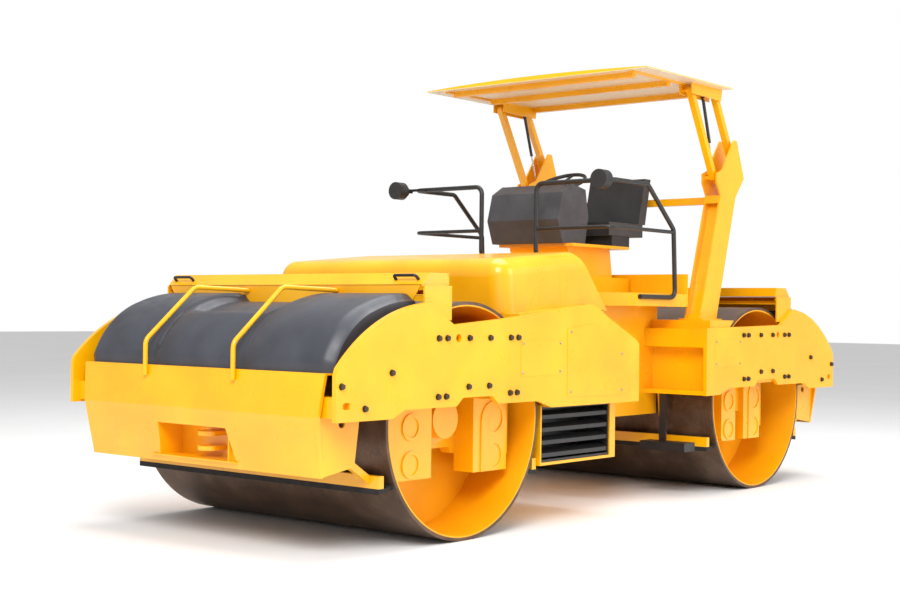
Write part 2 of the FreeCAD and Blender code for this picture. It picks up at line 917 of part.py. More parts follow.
for end_name, end in ENDS:
    make_drum(f"{end_name}_drum", end)
    carriers = []
    for side_name, side in SIDES:
        make_side_plate(f"{end_name}_side_plate_{side_name}", end, side)
        carriers.append(carrier(f"{end_name}_drum_carrier_{side_name}", end, side))
    node(f"{end_name}_drum_carriers", fuse(f"{end_name}_drum_carriers", carriers))
    make_end_panel(f"{end_name}_end_panel", end)
    make_tank(f"{end_name}_water_tank", end)
    make_bridge(f"{end_name}_spray_bridge", end)
    make_lid(f"{end_name}_spray_lid", end)
    make_lid_handles(f"{end_name}_lid_handles", end)
    make_guards(f"{end_name}_tank_guards", end)
    make_scrapers(end_name, end)

# Front chassis: box behind the drum, engine tray, bulkhead and swing bearing
def cross_profile(end, top):
    """A box between the frame's middle and the drum, its back hollowed round the drum."""
    near = dim("rear_plate_front") - AXLE
    low_out = -root(CLEAR_RAD * CLEAR_RAD - 48 * 48) + 8
    rise = top - AXLE_Z
    top_out = -root(CLEAR_RAD * CLEAR_RAD - rise * rise) + 8
    return [
        (outward(end, near), dim("nose_low")),
        (outward(end, low_out - 20), dim("nose_low")),
        (outward(end, top_out - 20), top, CLEAR_RAD, as_size(-end)),
        (outward(end, near), top),
    ]


HOOD_ARM = (640, 700)
HOOD_EAR = (702, 730)


def hood_arm(name, side):
    """An arm on the cross box with the pin of one of the hood's hinges."""
    axis_y = dim("hood_hinge_y")
    axis_z = dim("hood_hinge_z")
    corners = [
        (-axis_y - 17, axis_z - 16),
        (as_size(-1238), dim("cross_top") - 2),
        (as_size(-1150), dim("cross_top") - 2),
        (15 - axis_y, axis_z + 18),
        (-axis_y - 15, axis_z + 18),
    ]
    arm = prism(f"{name}_arm", "YZ", corners, across(side, *HOOD_ARM))
    pin = rod(f"{name}_pin", "X", (-axis_y, axis_z), 9, across(side, HOOD_ARM[0], HOOD_EAR[1] + 4))
    return [arm, pin]


def make_front_chassis(label):
    floor_low = as_size(380)
    floor_top = floor_low + 18
    cross = prism(f"{label}_cross", "YZ", cross_profile(-1, dim("cross_top")), (-PLATE_IN, PLATE_IN))
    floor = box(f"{label}_floor", (-1060, 1060), (-1046, -200), (floor_low, floor_top))
    front_wall = box(f"{label}_front_wall", (-1060, 1060), (-1046, -1034), (floor_low, 753))
    wall_y = dim("bulkhead_y")
    bulkhead = box(
        f"{label}_bulkhead", (-795, 795), (-wall_y, 20 - wall_y), (floor_low, 1165)
    )
    bulkhead_wide = box(
        f"{label}_bulkhead_wide", (-PLATE_IN, PLATE_IN), (-wall_y, 20 - wall_y), (755, 1165)
    )
    housing = rod(
        f"{label}_housing", "Y", (0, dim("swing_z")), dim("swing_rad") + 45, (-560, -300)
    )
    pieces = [cross, floor, front_wall, bulkhead, bulkhead_wide, housing]
    for name, side in SIDES:
        pieces.append(
            box(f"{label}_corner_{name}", across(side, 1005, 1060), (-262, -200), (floor_low, 760))
        )
        pieces.append(
            box(f"{label}_wing_{name}", across(side, 1005, PLATE_IN), (-1046, -200), (750, 762))
        )
        pieces.append(
            box(f"{label}_lug_{name}", across(side, 560, 640), (-1062.5, -1046), (385, 430))
        )
        pieces += hood_arm(f"{label}_hood_{name}", side)
        gap = dim("running_gap")
        front_low = dim("hood_front_low") - gap
        side_low = dim("hood_side_low") - gap
        sill = [
            (-dim("hood_front"), front_low),
            (-dim("hood_back_high"), side_low),
            (-dim("hood_back_high"), side_low - 25),
            (-dim("hood_front"), front_low - 25),
        ]
        pieces.append(prism(f"{label}_sill_{name}", "YZ", sill, across(side, 985, PLATE_IN)))
    bore = rod(
        f"{label}_bore", "Y", (0, dim("swing_z")), dim("swing_rad") + dim("running_gap"),
        (-565, -295)
    )
    whole = fuse(f"{label}_whole", pieces)
    node(label, cut(label, whole, [bore]))


def make_engine(label):
    node(label, box(label, (-420, 420), (-845, -575), (398, 1270)))


# Side grilles: black boxes with slanted slats
def make_grilles(label):
    boxes = []
    for name, side in SIDES:
        outer = box(f"{label}_outer_{name}", across(side, 800, 1050), (-1034, -262), (398, 750))
        inner = box(f"{label}_inner_{name}", across(side, 812, 1051), (-1018, -278), (414, 734))
        boxes.append(cut(f"{label}_frame_{name}", outer, [inner]))
        for index in range(4):
            low = 428 + index * 80
            corners = [
                (side * 1046, as_size(low)),
                (side * 985, as_size(low + 44)),
                (side * 985, as_size(low + 50)),
                (side * 1046, as_size(low + 26)),
            ]
            boxes.append(prism(f"{label}_slat_{name}_{index}", "XZ", corners, (-1020, -276)))
    node(label, fuse(label, boxes))


# Engine hood: one moulded shell, hinged at its front
def hood_corners(inset, drop):
    """The hood's side outline; inset moves its skin in, drop lowers its open edge."""
    front = dim("hood_front") - inset
    slope = (dim("hood_back_high") - dim("hood_back_low")) / (dim("hood_top") - 1356)
    back_low = dim("hood_back_low") + inset * 1.33
    return [
        (-front, dim("hood_front_low") - drop),
        (-front - 30, dim("hood_front_top") - inset),
        (-(dim("hood_back_high") + inset), dim("hood_top") - inset),
        (-(back_low - slope * drop), 1356 - as_size(drop)),
        (-dim("hood_back_high"), dim("hood_side_low") - drop),
    ]


def make_hood(label):
    half = dim("hood_half")
    wall = dim("hood_wall")

    def front_top_edge(edge):
        return any(
            abs(vertex.Point.y + dim("hood_front").value) < 60 and vertex.Point.z > 1600
            for vertex in edge.Vertexes
        )

    outer = prism(f"{label}_outer", "YZ", hood_corners(as_size(0), 0), (-half, half))
    outer_round = rounded(f"{label}_outer_round", outer, dim("hood_round"), front_top_edge)
    inner = prism(f"{label}_inner", "YZ", hood_corners(wall, 60), (-half + wall, half - wall))
    inner_round = rounded(
        f"{label}_inner_round", inner, dim("hood_round") - wall, front_top_edge
    )
    shell = cut(f"{label}_shell", outer_round, [inner_round])
    axis = (-dim("hood_hinge_y"), dim("hood_hinge_z"))
    front = -dim("hood_front")
    ears = []
    notches = []
    for name, side in SIDES:
        ears.append(
            box(
                f"{label}_ear_{name}", across(side, *HOOD_EAR), (front + 3, front + 38),
                (dim("hood_hinge_z") - 15, dim("hood_front_low") + 70)
            )
        )
        notches.append(
            box(
                f"{label}_notch_{name}", across(side, HOOD_ARM[0] - 10, HOOD_ARM[1] + 1),
                (front - 20, front + wall + 3),
                (dim("hood_front_low") - 1, dim("hood_hinge_z") + 65)
            )
        )
        notches.append(
            rod(
                f"{label}_ear_bore_{name}", "X", axis, 9 + dim("running_gap"),
                across(side, HOOD_EAR[0] - 1, HOOD_EAR[1] + 1)
            )
        )
    whole = fuse(f"{label}_whole", [shell] + ears)
    node(label, cut(label, whole, notches))


# Eye of the steering cylinder's rod, and the arm of the yoke above it
ROD_EYE = (230, 0, 508)


# Yoke: vertical barrel on the steering pin, shaft in the swing bearing
def make_yoke(label):
    ear = dim("pivot_ear")
    gap = dim("running_gap")
    low = dim("pivot_low") + ear + gap
    high = dim("pivot_high") - ear - gap
    barrel = rod(f"{label}_barrel", "Z", (0, 0), 88, (low, high))
    neck = box(f"{label}_neck", (-75, 75), (-262, 0), (dim("swing_z") - 90, dim("swing_z") + 90))
    shaft = rod(f"{label}_shaft", "Y", (0, dim("swing_z")), dim("swing_rad"), (-556, -262))
    collar = rod(f"{label}_collar", "Y", (0, dim("swing_z")), dim("swing_rad") + 40, (-299.7, -262))
    eye_x, eye_y, eye_z = ROD_EYE
    arm_corners = [
        (as_size(0), as_size(-60)),
        (as_size(eye_x), as_size(eye_y - 40)),
        (as_size(eye_x), as_size(eye_y + 40), as_size(41), as_size(1)),
        (as_size(0), as_size(60)),
    ]
    arm = prism(f"{label}_arm", "XY", arm_corners, (eye_z + 19.5, eye_z + 44))
    bore = rod(f"{label}_bore", "Z", (0, 0), dim("pivot_pin") + gap, (low - 5, high + 5))
    whole = fuse(f"{label}_whole", [barrel, neck, shaft, collar, arm])
    node(label, cut(label, whole, [bore]))


# Steering cylinder between the rear frame and the yoke
CYLINDER_PIN = (230, 720, 508)


def make_steering_cylinder(barrel_label, rod_label):
    x, base, z = CYLINDER_PIN
    eye = ROD_EYE[1]
    gap = dim("running_gap")
    shell = rod(f"{barrel_label}_shell", "Y", (x, z), 38, (base - 500, base - 20))
    ear = rod(f"{barrel_label}_ear", "Z", (x, base), 36, (z - 18, z + 18))
    hole = rod(f"{barrel_label}_hole", "Z", (x, base), 18 + gap, (z - 25, z + 25))
    bore = rod(f"{barrel_label}_bore", "Y", (x, z), 19 + gap, (base - 505, base - 60))
    whole = fuse(f"{barrel_label}_whole", [shell, ear])
    node(barrel_label, cut(barrel_label, whole, [hole, bore]))
    stem = rod(f"{rod_label}_stem", "Y", (x, z), 19, (eye, base - 200))
    end = rod(f"{rod_label}_end", "Z", (x, eye), 36, (z - 17, z + 17))
    node(rod_label, fuse(rod_label, [stem, end]))


# Centre body under the platform, with the two pivot ears and the pin
def make_centre_body(label):
    half = dim("centre_half")
    front = dim("centre_front")
    round_rad = as_size(150)
    corners = [
        (-half, dim("centre_back")),
        (-half, front + round_rad),
        (round_rad - half, front, round_rad, as_size(1)),
        (half - round_rad, front),
        (half, front + round_rad, round_rad, as_size(1)),
        (half, dim("centre_back")),
    ]
    top = dim("deck_top") - 12
    core = prism(f"{label}_core", "XY", corners, (dim("centre_low"), top))
    ears = []
    ear_outline = [
        (as_size(-150), front + 60),
        (as_size(-100), as_size(0)),
        (as_size(100), as_size(0), as_size(100.5), as_size(1)),
        (as_size(150), front + 60),
    ]
    low = dim("pivot_low")
    high = dim("pivot_high")
    ear = dim("pivot_ear")
    ears.append(prism(f"{label}_ear_low", "XY", ear_outline, (low, low + ear)))
    ears.append(prism(f"{label}_ear_high", "XY", ear_outline, (high - ear, high)))
    web = box(f"{label}_web", (-60, 60), (front - 20, front + 300), (low, dim("centre_low") + 5))
    pin_x, pin_y, pin_z = CYLINDER_PIN
    foot = box(
        f"{label}_foot", (pin_x - 45, pin_x + 45), (pin_y - 40, pin_y + 60),
        (pin_z + 38.3, dim("centre_low") + 5)
    )
    foot_pin = rod(f"{label}_foot_pin", "Z", (pin_x, pin_y), 18, (pin_z - 26, pin_z + 39))
    pin = rod(f"{label}_pin", "Z", (0, 0), dim("pivot_pin"), (low - 6, high + 12))
    return node(label, fuse(label, [core, web, foot, foot_pin, pin] + ears))


def make_rear_cross(label, centre):
    top = dim("post_foot") - 12
    profile = prism(f"{label}_profile", "YZ", cross_profile(1, top), (-PLATE_IN, PLATE_IN))
    recess = box(
        f"{label}_recess", (-PLATE_IN - 1, PLATE_IN + 1), (dim("rear_plate_front") - 1, 985),
        (783, 1100)
    )
    step = box(
        f"{label}_step", (-PLATE_IN - 1, PLATE_IN + 1), (dim("rear_plate_front") - 1, 950),
        (1235, 1400)
    )
    hollow = fuse(f"{label}_hollows", [recess, step])
    shaped = cut(f"{label}_shaped", profile, [hollow])
    feet = []
    for name, side in SIDES:
        arm = [
            (as_size(985), dim("nose_low") + 3),
            (as_size(1012), dim("nose_low") + 3),
            (AXLE - SCRAPER_EDGE - 110, as_size(430)),
            (AXLE - SCRAPER_EDGE - 110, as_size(385)),
            (as_size(1040), as_size(385)),
        ]
        feet.append(prism(f"{label}_arm_{name}", "YZ", arm, across(side, 660, 700)))
        feet.append(
            box(f"{label}_foot_{name}", across(side, 780, 985), (1080, 1370), (top - 1, top + 12))
        )
    whole = fuse(f"{label}_whole", [shaped] + feet)
    node(label, cut(label, whole, [centre]))


# Platform: floor sheet with a skirt, chamfered for the steering, and a back wall
def deck_outline(inset):
    half = dim("deck_half") - inset
    back = dim("deck_back") - inset
    corner = dim("deck_corner") + inset * 0.4
    return [
        (-half, back),
        (-half, corner),
        (as_size(-420), as_size(40) + inset),
        (as_size(420), as_size(40) + inset),
        (half, corner),
        (half, back),
    ]


def make_deck(label):
    low = dim("deck_low")
    top = dim("deck_top")
    slab = prism(f"{label}_slab", "XY", deck_outline(as_size(0)), (low, top))
    under = prism(f"{label}_under", "XY", deck_outline(as_size(8)), (low - 1, top - 12))
    shell = cut(f"{label}_shell", slab, [under])
    half = dim("deck_half")
    back = dim("deck_back")
    wall = box(f"{label}_wall", (-half, half), (back - 10, back), (top - 1, top + 150))
    node(label, fuse(label, [shell, wall]))


# Steps that hang under the rear frame's cross box
def make_steps(label):
    pieces = []
    for name, side in SIDES:
        tread = box(f"{label}_tread_{name}", across(side, 620, 1000), (810, 960), (335, 398))
        hanger = box(
            f"{label}_hanger_{name}", across(side, 745, 800), (875, 893), (397, dim("nose_low"))
        )
        pieces += [tread, hanger]
    whole = fuse(f"{label}_whole", pieces)
    node(label, whole)


# Upper and lower pin of the left canopy strut
STRUT_TOP = (as_size(848), dim("link_top_y") + 268, dim("link_top_z") - 28)
STRUT_LOW = (as_size(848), dim("link_low_y") + 90, dim("link_low_z") + 44)


# Canopy posts: leaning box sections with twin plates that hold the links
def make_posts(label):
    post_in = 815
    post_out = 950
    foot = dim("post_foot")
    plate = [
        (as_size(1395), dim("link_low_z") - 136),
        (as_size(1628), dim("link_low_z") - 136),
        (dim("link_low_y") + dim("link_spacing") + 30, dim("link_low_z") + 20),
        (dim("link_low_y") + 260, dim("link_low_z") + 304),
        (dim("link_low_y") + 210, dim("link_low_z") + 304),
        (as_size(1425), dim("link_low_z") + 64),
        (dim("link_low_y") - 45, dim("link_low_z") + 30),
        (dim("link_low_y") - 45, dim("link_low_z") - 40),
    ]
    head = dim("link_low_z") - 134
    post = [
        (as_size(1105), foot),
        (as_size(1350), foot),
        (as_size(1628), head),
        (as_size(1395), head),
    ]
    channel = [
        (as_size(1100), foot + 30),
        (as_size(1165), foot + 30),
        (as_size(1440), head - 60),
        (as_size(1330), head - 60),
    ]
    pieces = []
    for name, side in SIDES:
        solid = prism(f"{label}_solid_{name}", "YZ", post, across(side, post_in, post_out))
        groove = prism(
            f"{label}_groove_{name}", "YZ", channel, across(side, post_in + 14, post_out - 14)
        )
        pieces.append(cut(f"{label}_post_{name}", solid, [groove]))
        pieces.append(
            prism(f"{label}_out_{name}", "YZ", plate, across(side, post_out - 12, post_out)))
        pieces.append(prism(f"{label}_in_{name}", "YZ", plate, across(side, post_in, post_in + 12)))
        pins = (
            (dim("link_low_y"), dim("link_low_z"), 14),
            (dim("link_low_y") + dim("link_spacing"), dim("link_low_z") + 22, 14),
        )
        for index, (y, z, radius) in enumerate(pins):
            pieces.append(
                rod(f"{label}_pin_{name}_{index}", "X", (y, z), radius, across(side, post_in, post_out))
            )
        pieces.append(
            rod(
                f"{label}_strut_pin_{name}", "X", STRUT_LOW[1:], 8,
                across(side, post_in, STRUT_LOW[0] - 8.5)
            )
        )
    bar_top = dim("link_low_z") - 141
    pieces.append(
        box(f"{label}_bar", (-post_in - 1, post_in + 1), (1440, 1490), (bar_top - 55, bar_top))
    )
    node(label, fuse(label, pieces))


def link(name, side, low_y, low_z, hole):
    """One canopy link of square tube with a pin eye at each end."""
    top_y = low_y + dim("link_top_y") - dim("link_low_y")
    top_z = low_z + dim("link_top_z") - dim("link_low_z")
    low = Vector(0, low_y.value, low_z.value)
    top = Vector(0, top_y.value, top_z.value)
    way = (top - low).normalize()
    flat = Vector(0, -way.z, way.y)
    inner, outer = across(side, dim("link_face") - 25, dim("link_face") + 21)
    start = Vector(inner.value, 0, 0)
    corners = [
        start + low + flat * 23, start + top + flat * 23,
        start + top - flat * 23, start + low - flat * 23,
    ]
    face = Part.Face(Part.makePolygon(corners + corners[:1]))
    width = Vector((outer - inner).value, 0, 0)
    shape = face.extrude(width)
    along_x = Vector(1, 0, 0)
    for spot in (low, top):
        shape = shape.fuse(Part.makeCylinder(23, width.x, start + spot, along_x))
    for spot in (low, top):
        shape = shape.cut(Part.makeCylinder(hole, width.x + 2, start + spot - along_x, along_x))
    piece = doc.addObject("Part::Feature", name)
    piece.Shape = shape.removeSplitter()
    return piece


def make_links(label, shift, lift):
    hole = 14 + dim("running_gap").value
    links = [
        link(f"{label}_{name}", side, dim("link_low_y") + shift, dim("link_low_z") + lift, hole)
        for name, side in SIDES
    ]
    node(label, fuse(label, links))


def make_struts(barrel_label, rod_label):
    barrels = []
    rods = []
    gap = dim("running_gap").value
    for name, side in SIDES:
        top, low = [
            Vector(side * x.value, y.value, z.value) for x, y, z in (STRUT_TOP, STRUT_LOW)
        ]
        way = (low - top).normalize()
        across_x = Vector(1, 0, 0)
        tube = Part.makeCylinder(12, 330, top + way * 14, way)
        tube = tube.cut(Part.makeCylinder(6 + gap, 318, top + way * 30, way))
        eye = Part.makeCylinder(15, 16, top - across_x * 8, across_x)
        tube = tube.fuse(eye).cut(Part.makeCylinder(8 + gap, 20, top - across_x * 10, across_x))
        piece = doc.addObject("Part::Feature", f"{barrel_label}_{name}")
        piece.Shape = tube
        barrels.append(piece)
        length = (low - top).Length
        stem = Part.makeCylinder(6, length - 130 - 12, top + way * 130, way)
        eye = Part.makeCylinder(15, 16, low - across_x * 8, across_x)
        stem = stem.fuse(eye).cut(Part.makeCylinder(8 + gap, 20, low - across_x * 10, across_x))
        piece = doc.addObject("Part::Feature", f"{rod_label}_{name}")
        piece.Shape = stem
        rods.append(piece)
    node(barrel_label, fuse(barrel_label, barrels))
    node(rod_label, fuse(rod_label, rods))


# Roof: crowned sheet on a frame of side plates and cross bars
def make_roof(panel_label, frame_label):
    half = dim("roof_half")
    wall = dim("roof_wall")
    low = dim("link_top_z") + 49
    crown = as_size(26)
    radius = (half * half + crown * crown) / (crown * 2)
    profile = [
        (-half, low),
        (half, low),
        (half, low + wall - crown + 6),
        (-half, low + wall - crown + 6, radius, as_size(1)),
    ]
    panel = prism(
        f"{panel_label}_sheet", "XZ", profile, (dim("roof_front"), dim("roof_back"))
    )
    node(panel_label, panel)
    pieces = []
    for name, side in SIDES:
        side_plate = [
            (dim("link_top_y") - 45, low),
            (dim("link_top_y") - 45, dim("link_top_z") - 30),
            (dim("link_top_y") + dim("link_spacing") + 45, dim("link_top_z") - 40),
            (dim("link_top_y") + dim("link_spacing") + 60, low),
        ]
        for index, x in enumerate((836 - 12, 926)):
            pieces.append(
                prism(f"{frame_label}_side_{name}_{index}", "YZ", side_plate, across(side, x, x + 8))
            )
        for index, (shift, lift) in enumerate(((0, 0), (dim("link_spacing"), 22))):
            pieces.append(
                rod(
                    f"{frame_label}_pin_{name}_{index}", "X",
                    (dim("link_top_y") + shift, dim("link_top_z") + lift), 14, across(side, 824, 934)
                )
            )
        pieces.append(
            rod(f"{frame_label}_strut_pin_{name}", "X", STRUT_TOP[1:], 8, across(side, 824, 862))
        )
        pieces.append(
            box(
                f"{frame_label}_rail_{name}", across(side, 824, 866),
                (dim("roof_front") + 60, dim("roof_back") - 40), (low - 14, low)
            )
        )
    for index, y in enumerate((330, 800, 1380)):
        pieces.append(
            box(f"{frame_label}_cross_{index}", (-825, 825), (y, y + 45), (low - 40, low))
        )
    node(frame_label, fuse(frame_label, pieces))


# Driver's station: pedestal, console, wheel and seat
def make_station():
    deck = dim("deck_top")
    base = box("station_base", (-330, 380), (330, 1010), (deck, deck + 120))
    column = prism(
        "station_column", "YZ",
        [
            (as_size(360), deck + 118), (as_size(900), deck + 118), (as_size(860), as_size(1830)),
            (as_size(300), as_size(1830)),
        ],
        (-230, 300)
    )
    top_plate = box("station_plate", (-300, 380), (260, 1010), (1828, 1850))
    node("station_pedestal", fuse("station_pedestal", [base, column, top_plate]))
    console_corners = [
        (as_size(215), as_size(1850)),
        (as_size(500), as_size(1850)),
        (as_size(540), as_size(2060)),
        (as_size(500), as_size(2255)),
        (as_size(330), as_size(2290)),
        (as_size(205), as_size(2220)),
        (as_size(150), as_size(2020)),
    ]
    node("console", prism("console", "YZ", console_corners, (-330, 320)))
    rim = doc.addObject("Part::Torus", "wheel_rim")
    rim.Radius1 = 185
    rim.Radius2 = 14
    tilt = Rotation(Vector(1, 0, 0), 25)
    centre = Vector(0, 640, 2330)
    rim.Placement = Placement(centre, tilt)
    spokes = []
    for index in range(3):
        turn = tilt.multiply(Rotation(Vector(0, 0, 1), 120 * index + 90))
        spoke = doc.addObject("Part::Cylinder", f"wheel_spoke_{index}")
        spoke.Radius = 9
        spoke.Height = 184
        spoke.Placement = Placement(centre, turn.multiply(Rotation(Vector(0, 1, 0), 90)))
        spokes.append(spoke)
    stem = doc.addObject("Part::Cylinder", "wheel_stem")
    stem.Radius = 26
    stem.Height = 150
    way = tilt.multVec(Vector(0, 0, -1))
    stem.Placement = Placement(centre + way * 135, tilt)
    column_end = bar("wheel_column", [
        (0, centre.y + way.y * 120, centre.z + way.z * 120), (0, 560, 2130), (0, 500, 2100)], 22, 30)
    wheel = fuse("steering_wheel_whole", [rim, stem, column_end] + spokes)
    node("steering_wheel", cut("steering_wheel", wheel, [doc.getObject("console")]))
    node("seat_frame", box("seat_frame", (-120, 380), (770, 1010), (1850, 1930)))
    node("seat_cushion", box("seat_cushion", (-125, 385), (720, 1190), (1930.3, 2030)))
    back = prism(
        "seat_back", "YZ",
        [
            (as_size(1130), as_size(2030.6)), (as_size(1225), as_size(2030.6)),
            (as_size(1300), as_size(2390)), (as_size(1215), as_size(2390)),
        ],
        (-125, 385)
    )
    node("seat_back", back)


# Handrails with their work lamps
def make_rails(label):
    radius = dim("rail_rad")
    pieces = []
    deck = dim("deck_top")
    for name, side in SIDES:
        x = side * (dim("deck_half") + radius)
        points = [
            (x, 353, 1462), (x, 830, 1462), (x, 800, 1960), (x, 440, 2265),
            (x, -20, 2265), (side * 250, -20, 2265), (side * 250, -20, 1780),
            (side * 250, 75, 1650), (side * 250, 75, deck + 0.2),
        ]
        pieces.append(bar(f"{label}_{name}", points, radius, 55))
        cross = [(side * 250, -20, 1940), (x, -20, 1940), (x, 801, 1940)]
        pieces.append(bar(f"{label}_mid_{name}", cross, radius * 0.8, 60))
    node(label, fuse(label, pieces))


def make_lamps(label):
    pieces = []
    for name, side in SIDES:
        spot = (side * 924, 2252)
        body = rod(f"{label}_body_{name}", "Y", spot, 66, (-232, -150))
        back = rod(f"{label}_back_{name}", "Y", spot, 40, (-151, -110))
        stem = box(f"{label}_stem_{name}", across(side, 915, 933), (-130, -38), (2244, 2274))
        foot = box(f"{label}_foot_{name}", across(side, 780, 933), (-56, -37.3), (2256, 2274))
        pieces += [body, back, stem, foot]
    node(label, fuse(label, pieces))


make_front_chassis("front_chassis")
make_engine("engine_block")
make_grilles("side_grilles")
make_hood("engine_hood")
make_yoke("steering_yoke")
make_steering_cylinder("steering_barrel", "steering_rod")
centre_body = make_centre_body("centre_body")
make_rear_cross("rear_cross_box", centre_body)
make_deck("platform")
make_steps("access_steps")
make_posts("canopy_posts")
make_links("canopy_links_front", as_size(0), as_size(0))
make_links("canopy_links_rear", dim("link_spacing"), as_size(22))
make_struts("canopy_strut_barrels", "canopy_strut_rods")
make_roof("canopy_roof", "canopy_frame")
make_station()
make_rails("handrails")
make_lamps("work_lamps")

doc.recompute()
os.makedirs("parts", exist_ok=True)
for item in doc.Objects:
    if "Invalid" in item.State or "Error" in item.State:
        raise ValueError(f"{item.Label} did not build")
for label, piece in nodes.items():
    shape = piece.Shape
    if shape.isNull() or not shape.isValid():
        raise ValueError(f"{label} has no valid shape")
    shape.exportStep(f"parts/{label}.step")
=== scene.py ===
import math

import bmesh
import bpy
from mathutils import Matrix, Vector


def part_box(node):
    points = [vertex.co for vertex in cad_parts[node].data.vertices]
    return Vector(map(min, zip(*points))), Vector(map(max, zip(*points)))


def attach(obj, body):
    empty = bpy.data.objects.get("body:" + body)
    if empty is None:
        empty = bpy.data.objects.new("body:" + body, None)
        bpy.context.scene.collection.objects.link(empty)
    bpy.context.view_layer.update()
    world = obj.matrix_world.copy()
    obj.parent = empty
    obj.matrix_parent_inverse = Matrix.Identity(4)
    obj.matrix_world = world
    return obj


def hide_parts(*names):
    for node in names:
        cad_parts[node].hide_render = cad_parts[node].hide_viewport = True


# Tandem roller: its finishes, fasteners and fittings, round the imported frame.
# Metres. -Y is forward, +X the machine's left side, Z up.

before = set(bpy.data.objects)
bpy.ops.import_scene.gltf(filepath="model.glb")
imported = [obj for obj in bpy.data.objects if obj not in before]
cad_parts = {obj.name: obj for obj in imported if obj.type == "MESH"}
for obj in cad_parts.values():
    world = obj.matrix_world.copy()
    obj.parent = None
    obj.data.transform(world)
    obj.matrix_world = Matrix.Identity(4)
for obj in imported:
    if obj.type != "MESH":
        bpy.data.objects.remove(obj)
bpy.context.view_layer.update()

# Main places, read from the frame
ENDS = (("front", -1), ("rear", 1))
SIDES = (("left", 1), ("right", -1))
FRAME_BODY = {"front": "front_frame", "rear": "rear_frame"}
drum_low, drum_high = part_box("rear_drum")
AXLE = (drum_low.y + drum_high.y) / 2
AXLE_Z = (drum_low.z + drum_high.z) / 2
DRUM_RAD = (drum_high.z - drum_low.z) / 2
PLATE_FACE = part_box("front_side_plate_left")[1].x


def linear(code):
    """The linear colour of an sRGB hex value."""
    channels = [int(code[start:start + 2], 16) / 255 for start in (1, 3, 5)]
    return tuple(
        c / 12.92 if c <= 0.04045 else ((c + 0.055) / 1.055) ** 2.4 for c in channels
    ) + (1.0,)


def per_metre(size_mm):
    """A pattern's scale, worked out from the size of one of its grains in millimetres."""
    return 1000.0 / size_mm


def feed(tree, node, inputs):
    """Give a node's inputs, by name or number, a value or another node's output."""
    for name, value in inputs.items():
        if isinstance(value, bpy.types.NodeSocket):
            tree.links.new(value, node.inputs[name])
        else:
            node.inputs[name].default_value = value


def add(tree, kind, inputs=None, settings=None, stops=()):
    """A node with its settings and links; stops are the (place, hex value) pairs of a ramp."""
    node = tree.nodes.new(kind)
    for name, value in (settings or {}).items():
        setattr(node, name, value)
    feed(tree, node, inputs or {})
    while stops and len(node.color_ramp.elements) < len(stops):
        node.color_ramp.elements.new(0.5)
    for element, (spot, code) in zip(node.color_ramp.elements if stops else (), stops):
        element.position = spot
        element.color = linear(code)
    return node


def started(name, sockets):
    """A new material with its Object coordinates and its shader; constants go on the shader."""
    material = bpy.data.materials.new(name)
    material.use_nodes = True
    tree = material.node_tree
    tree.nodes.clear()
    coords = add(tree, "ShaderNodeTexCoord").outputs["Object"]
    shader = add(tree, "ShaderNodeBsdfPrincipled", sockets)
    add(tree, "ShaderNodeOutputMaterial", {"Surface": shader.outputs["BSDF"]})
    return material, tree, coords, shader


# Materials
YELLOW_LIGHT = "#FFC004"
YELLOW = "#FBB400"
YELLOW_DEEP = "#F4A900"


def yellow_enamel():
    """Sprayed two-pack enamel: even and glossy, with orange peel and a few cloudy patches."""
    material, tree, coords, shader = started(
        "yellow_enamel", {"Coat Weight": 0.35, "Coat Roughness": 0.12}
    )
    cloud = add(tree, "ShaderNodeTexNoise", {"Vector": coords, "Scale": per_metre(420), "Detail": 4.0})
    tint = add(
        tree, "ShaderNodeValToRGB", {"Fac": cloud.outputs["Fac"]},
        stops=((0.3, YELLOW_DEEP), (0.55, YELLOW), (0.8, YELLOW_LIGHT)),
    )
    haze = add(tree, "ShaderNodeTexNoise", {"Vector": coords, "Scale": per_metre(160), "Detail": 5.0})
    gloss = add(
        tree, "ShaderNodeMapRange",
        {
            "Value": haze.outputs["Fac"], "From Min": 0.35, "From Max": 0.7,
            "To Min": 0.27, "To Max": 0.40,
        },
    )
    peel = add(tree, "ShaderNodeTexNoise", {"Vector": coords, "Scale": per_metre(9), "Detail": 2.0})
    bump = add(
        tree, "ShaderNodeBump",
        {"Height": peel.outputs["Fac"], "Distance": 0.00025, "Strength": 0.35},
    )
    feed(
        tree, shader,
        {
            "Base Color": tint.outputs["Color"], "Roughness": gloss.outputs["Result"],
            "Normal": bump.outputs["Normal"],
        },
    )
    return material


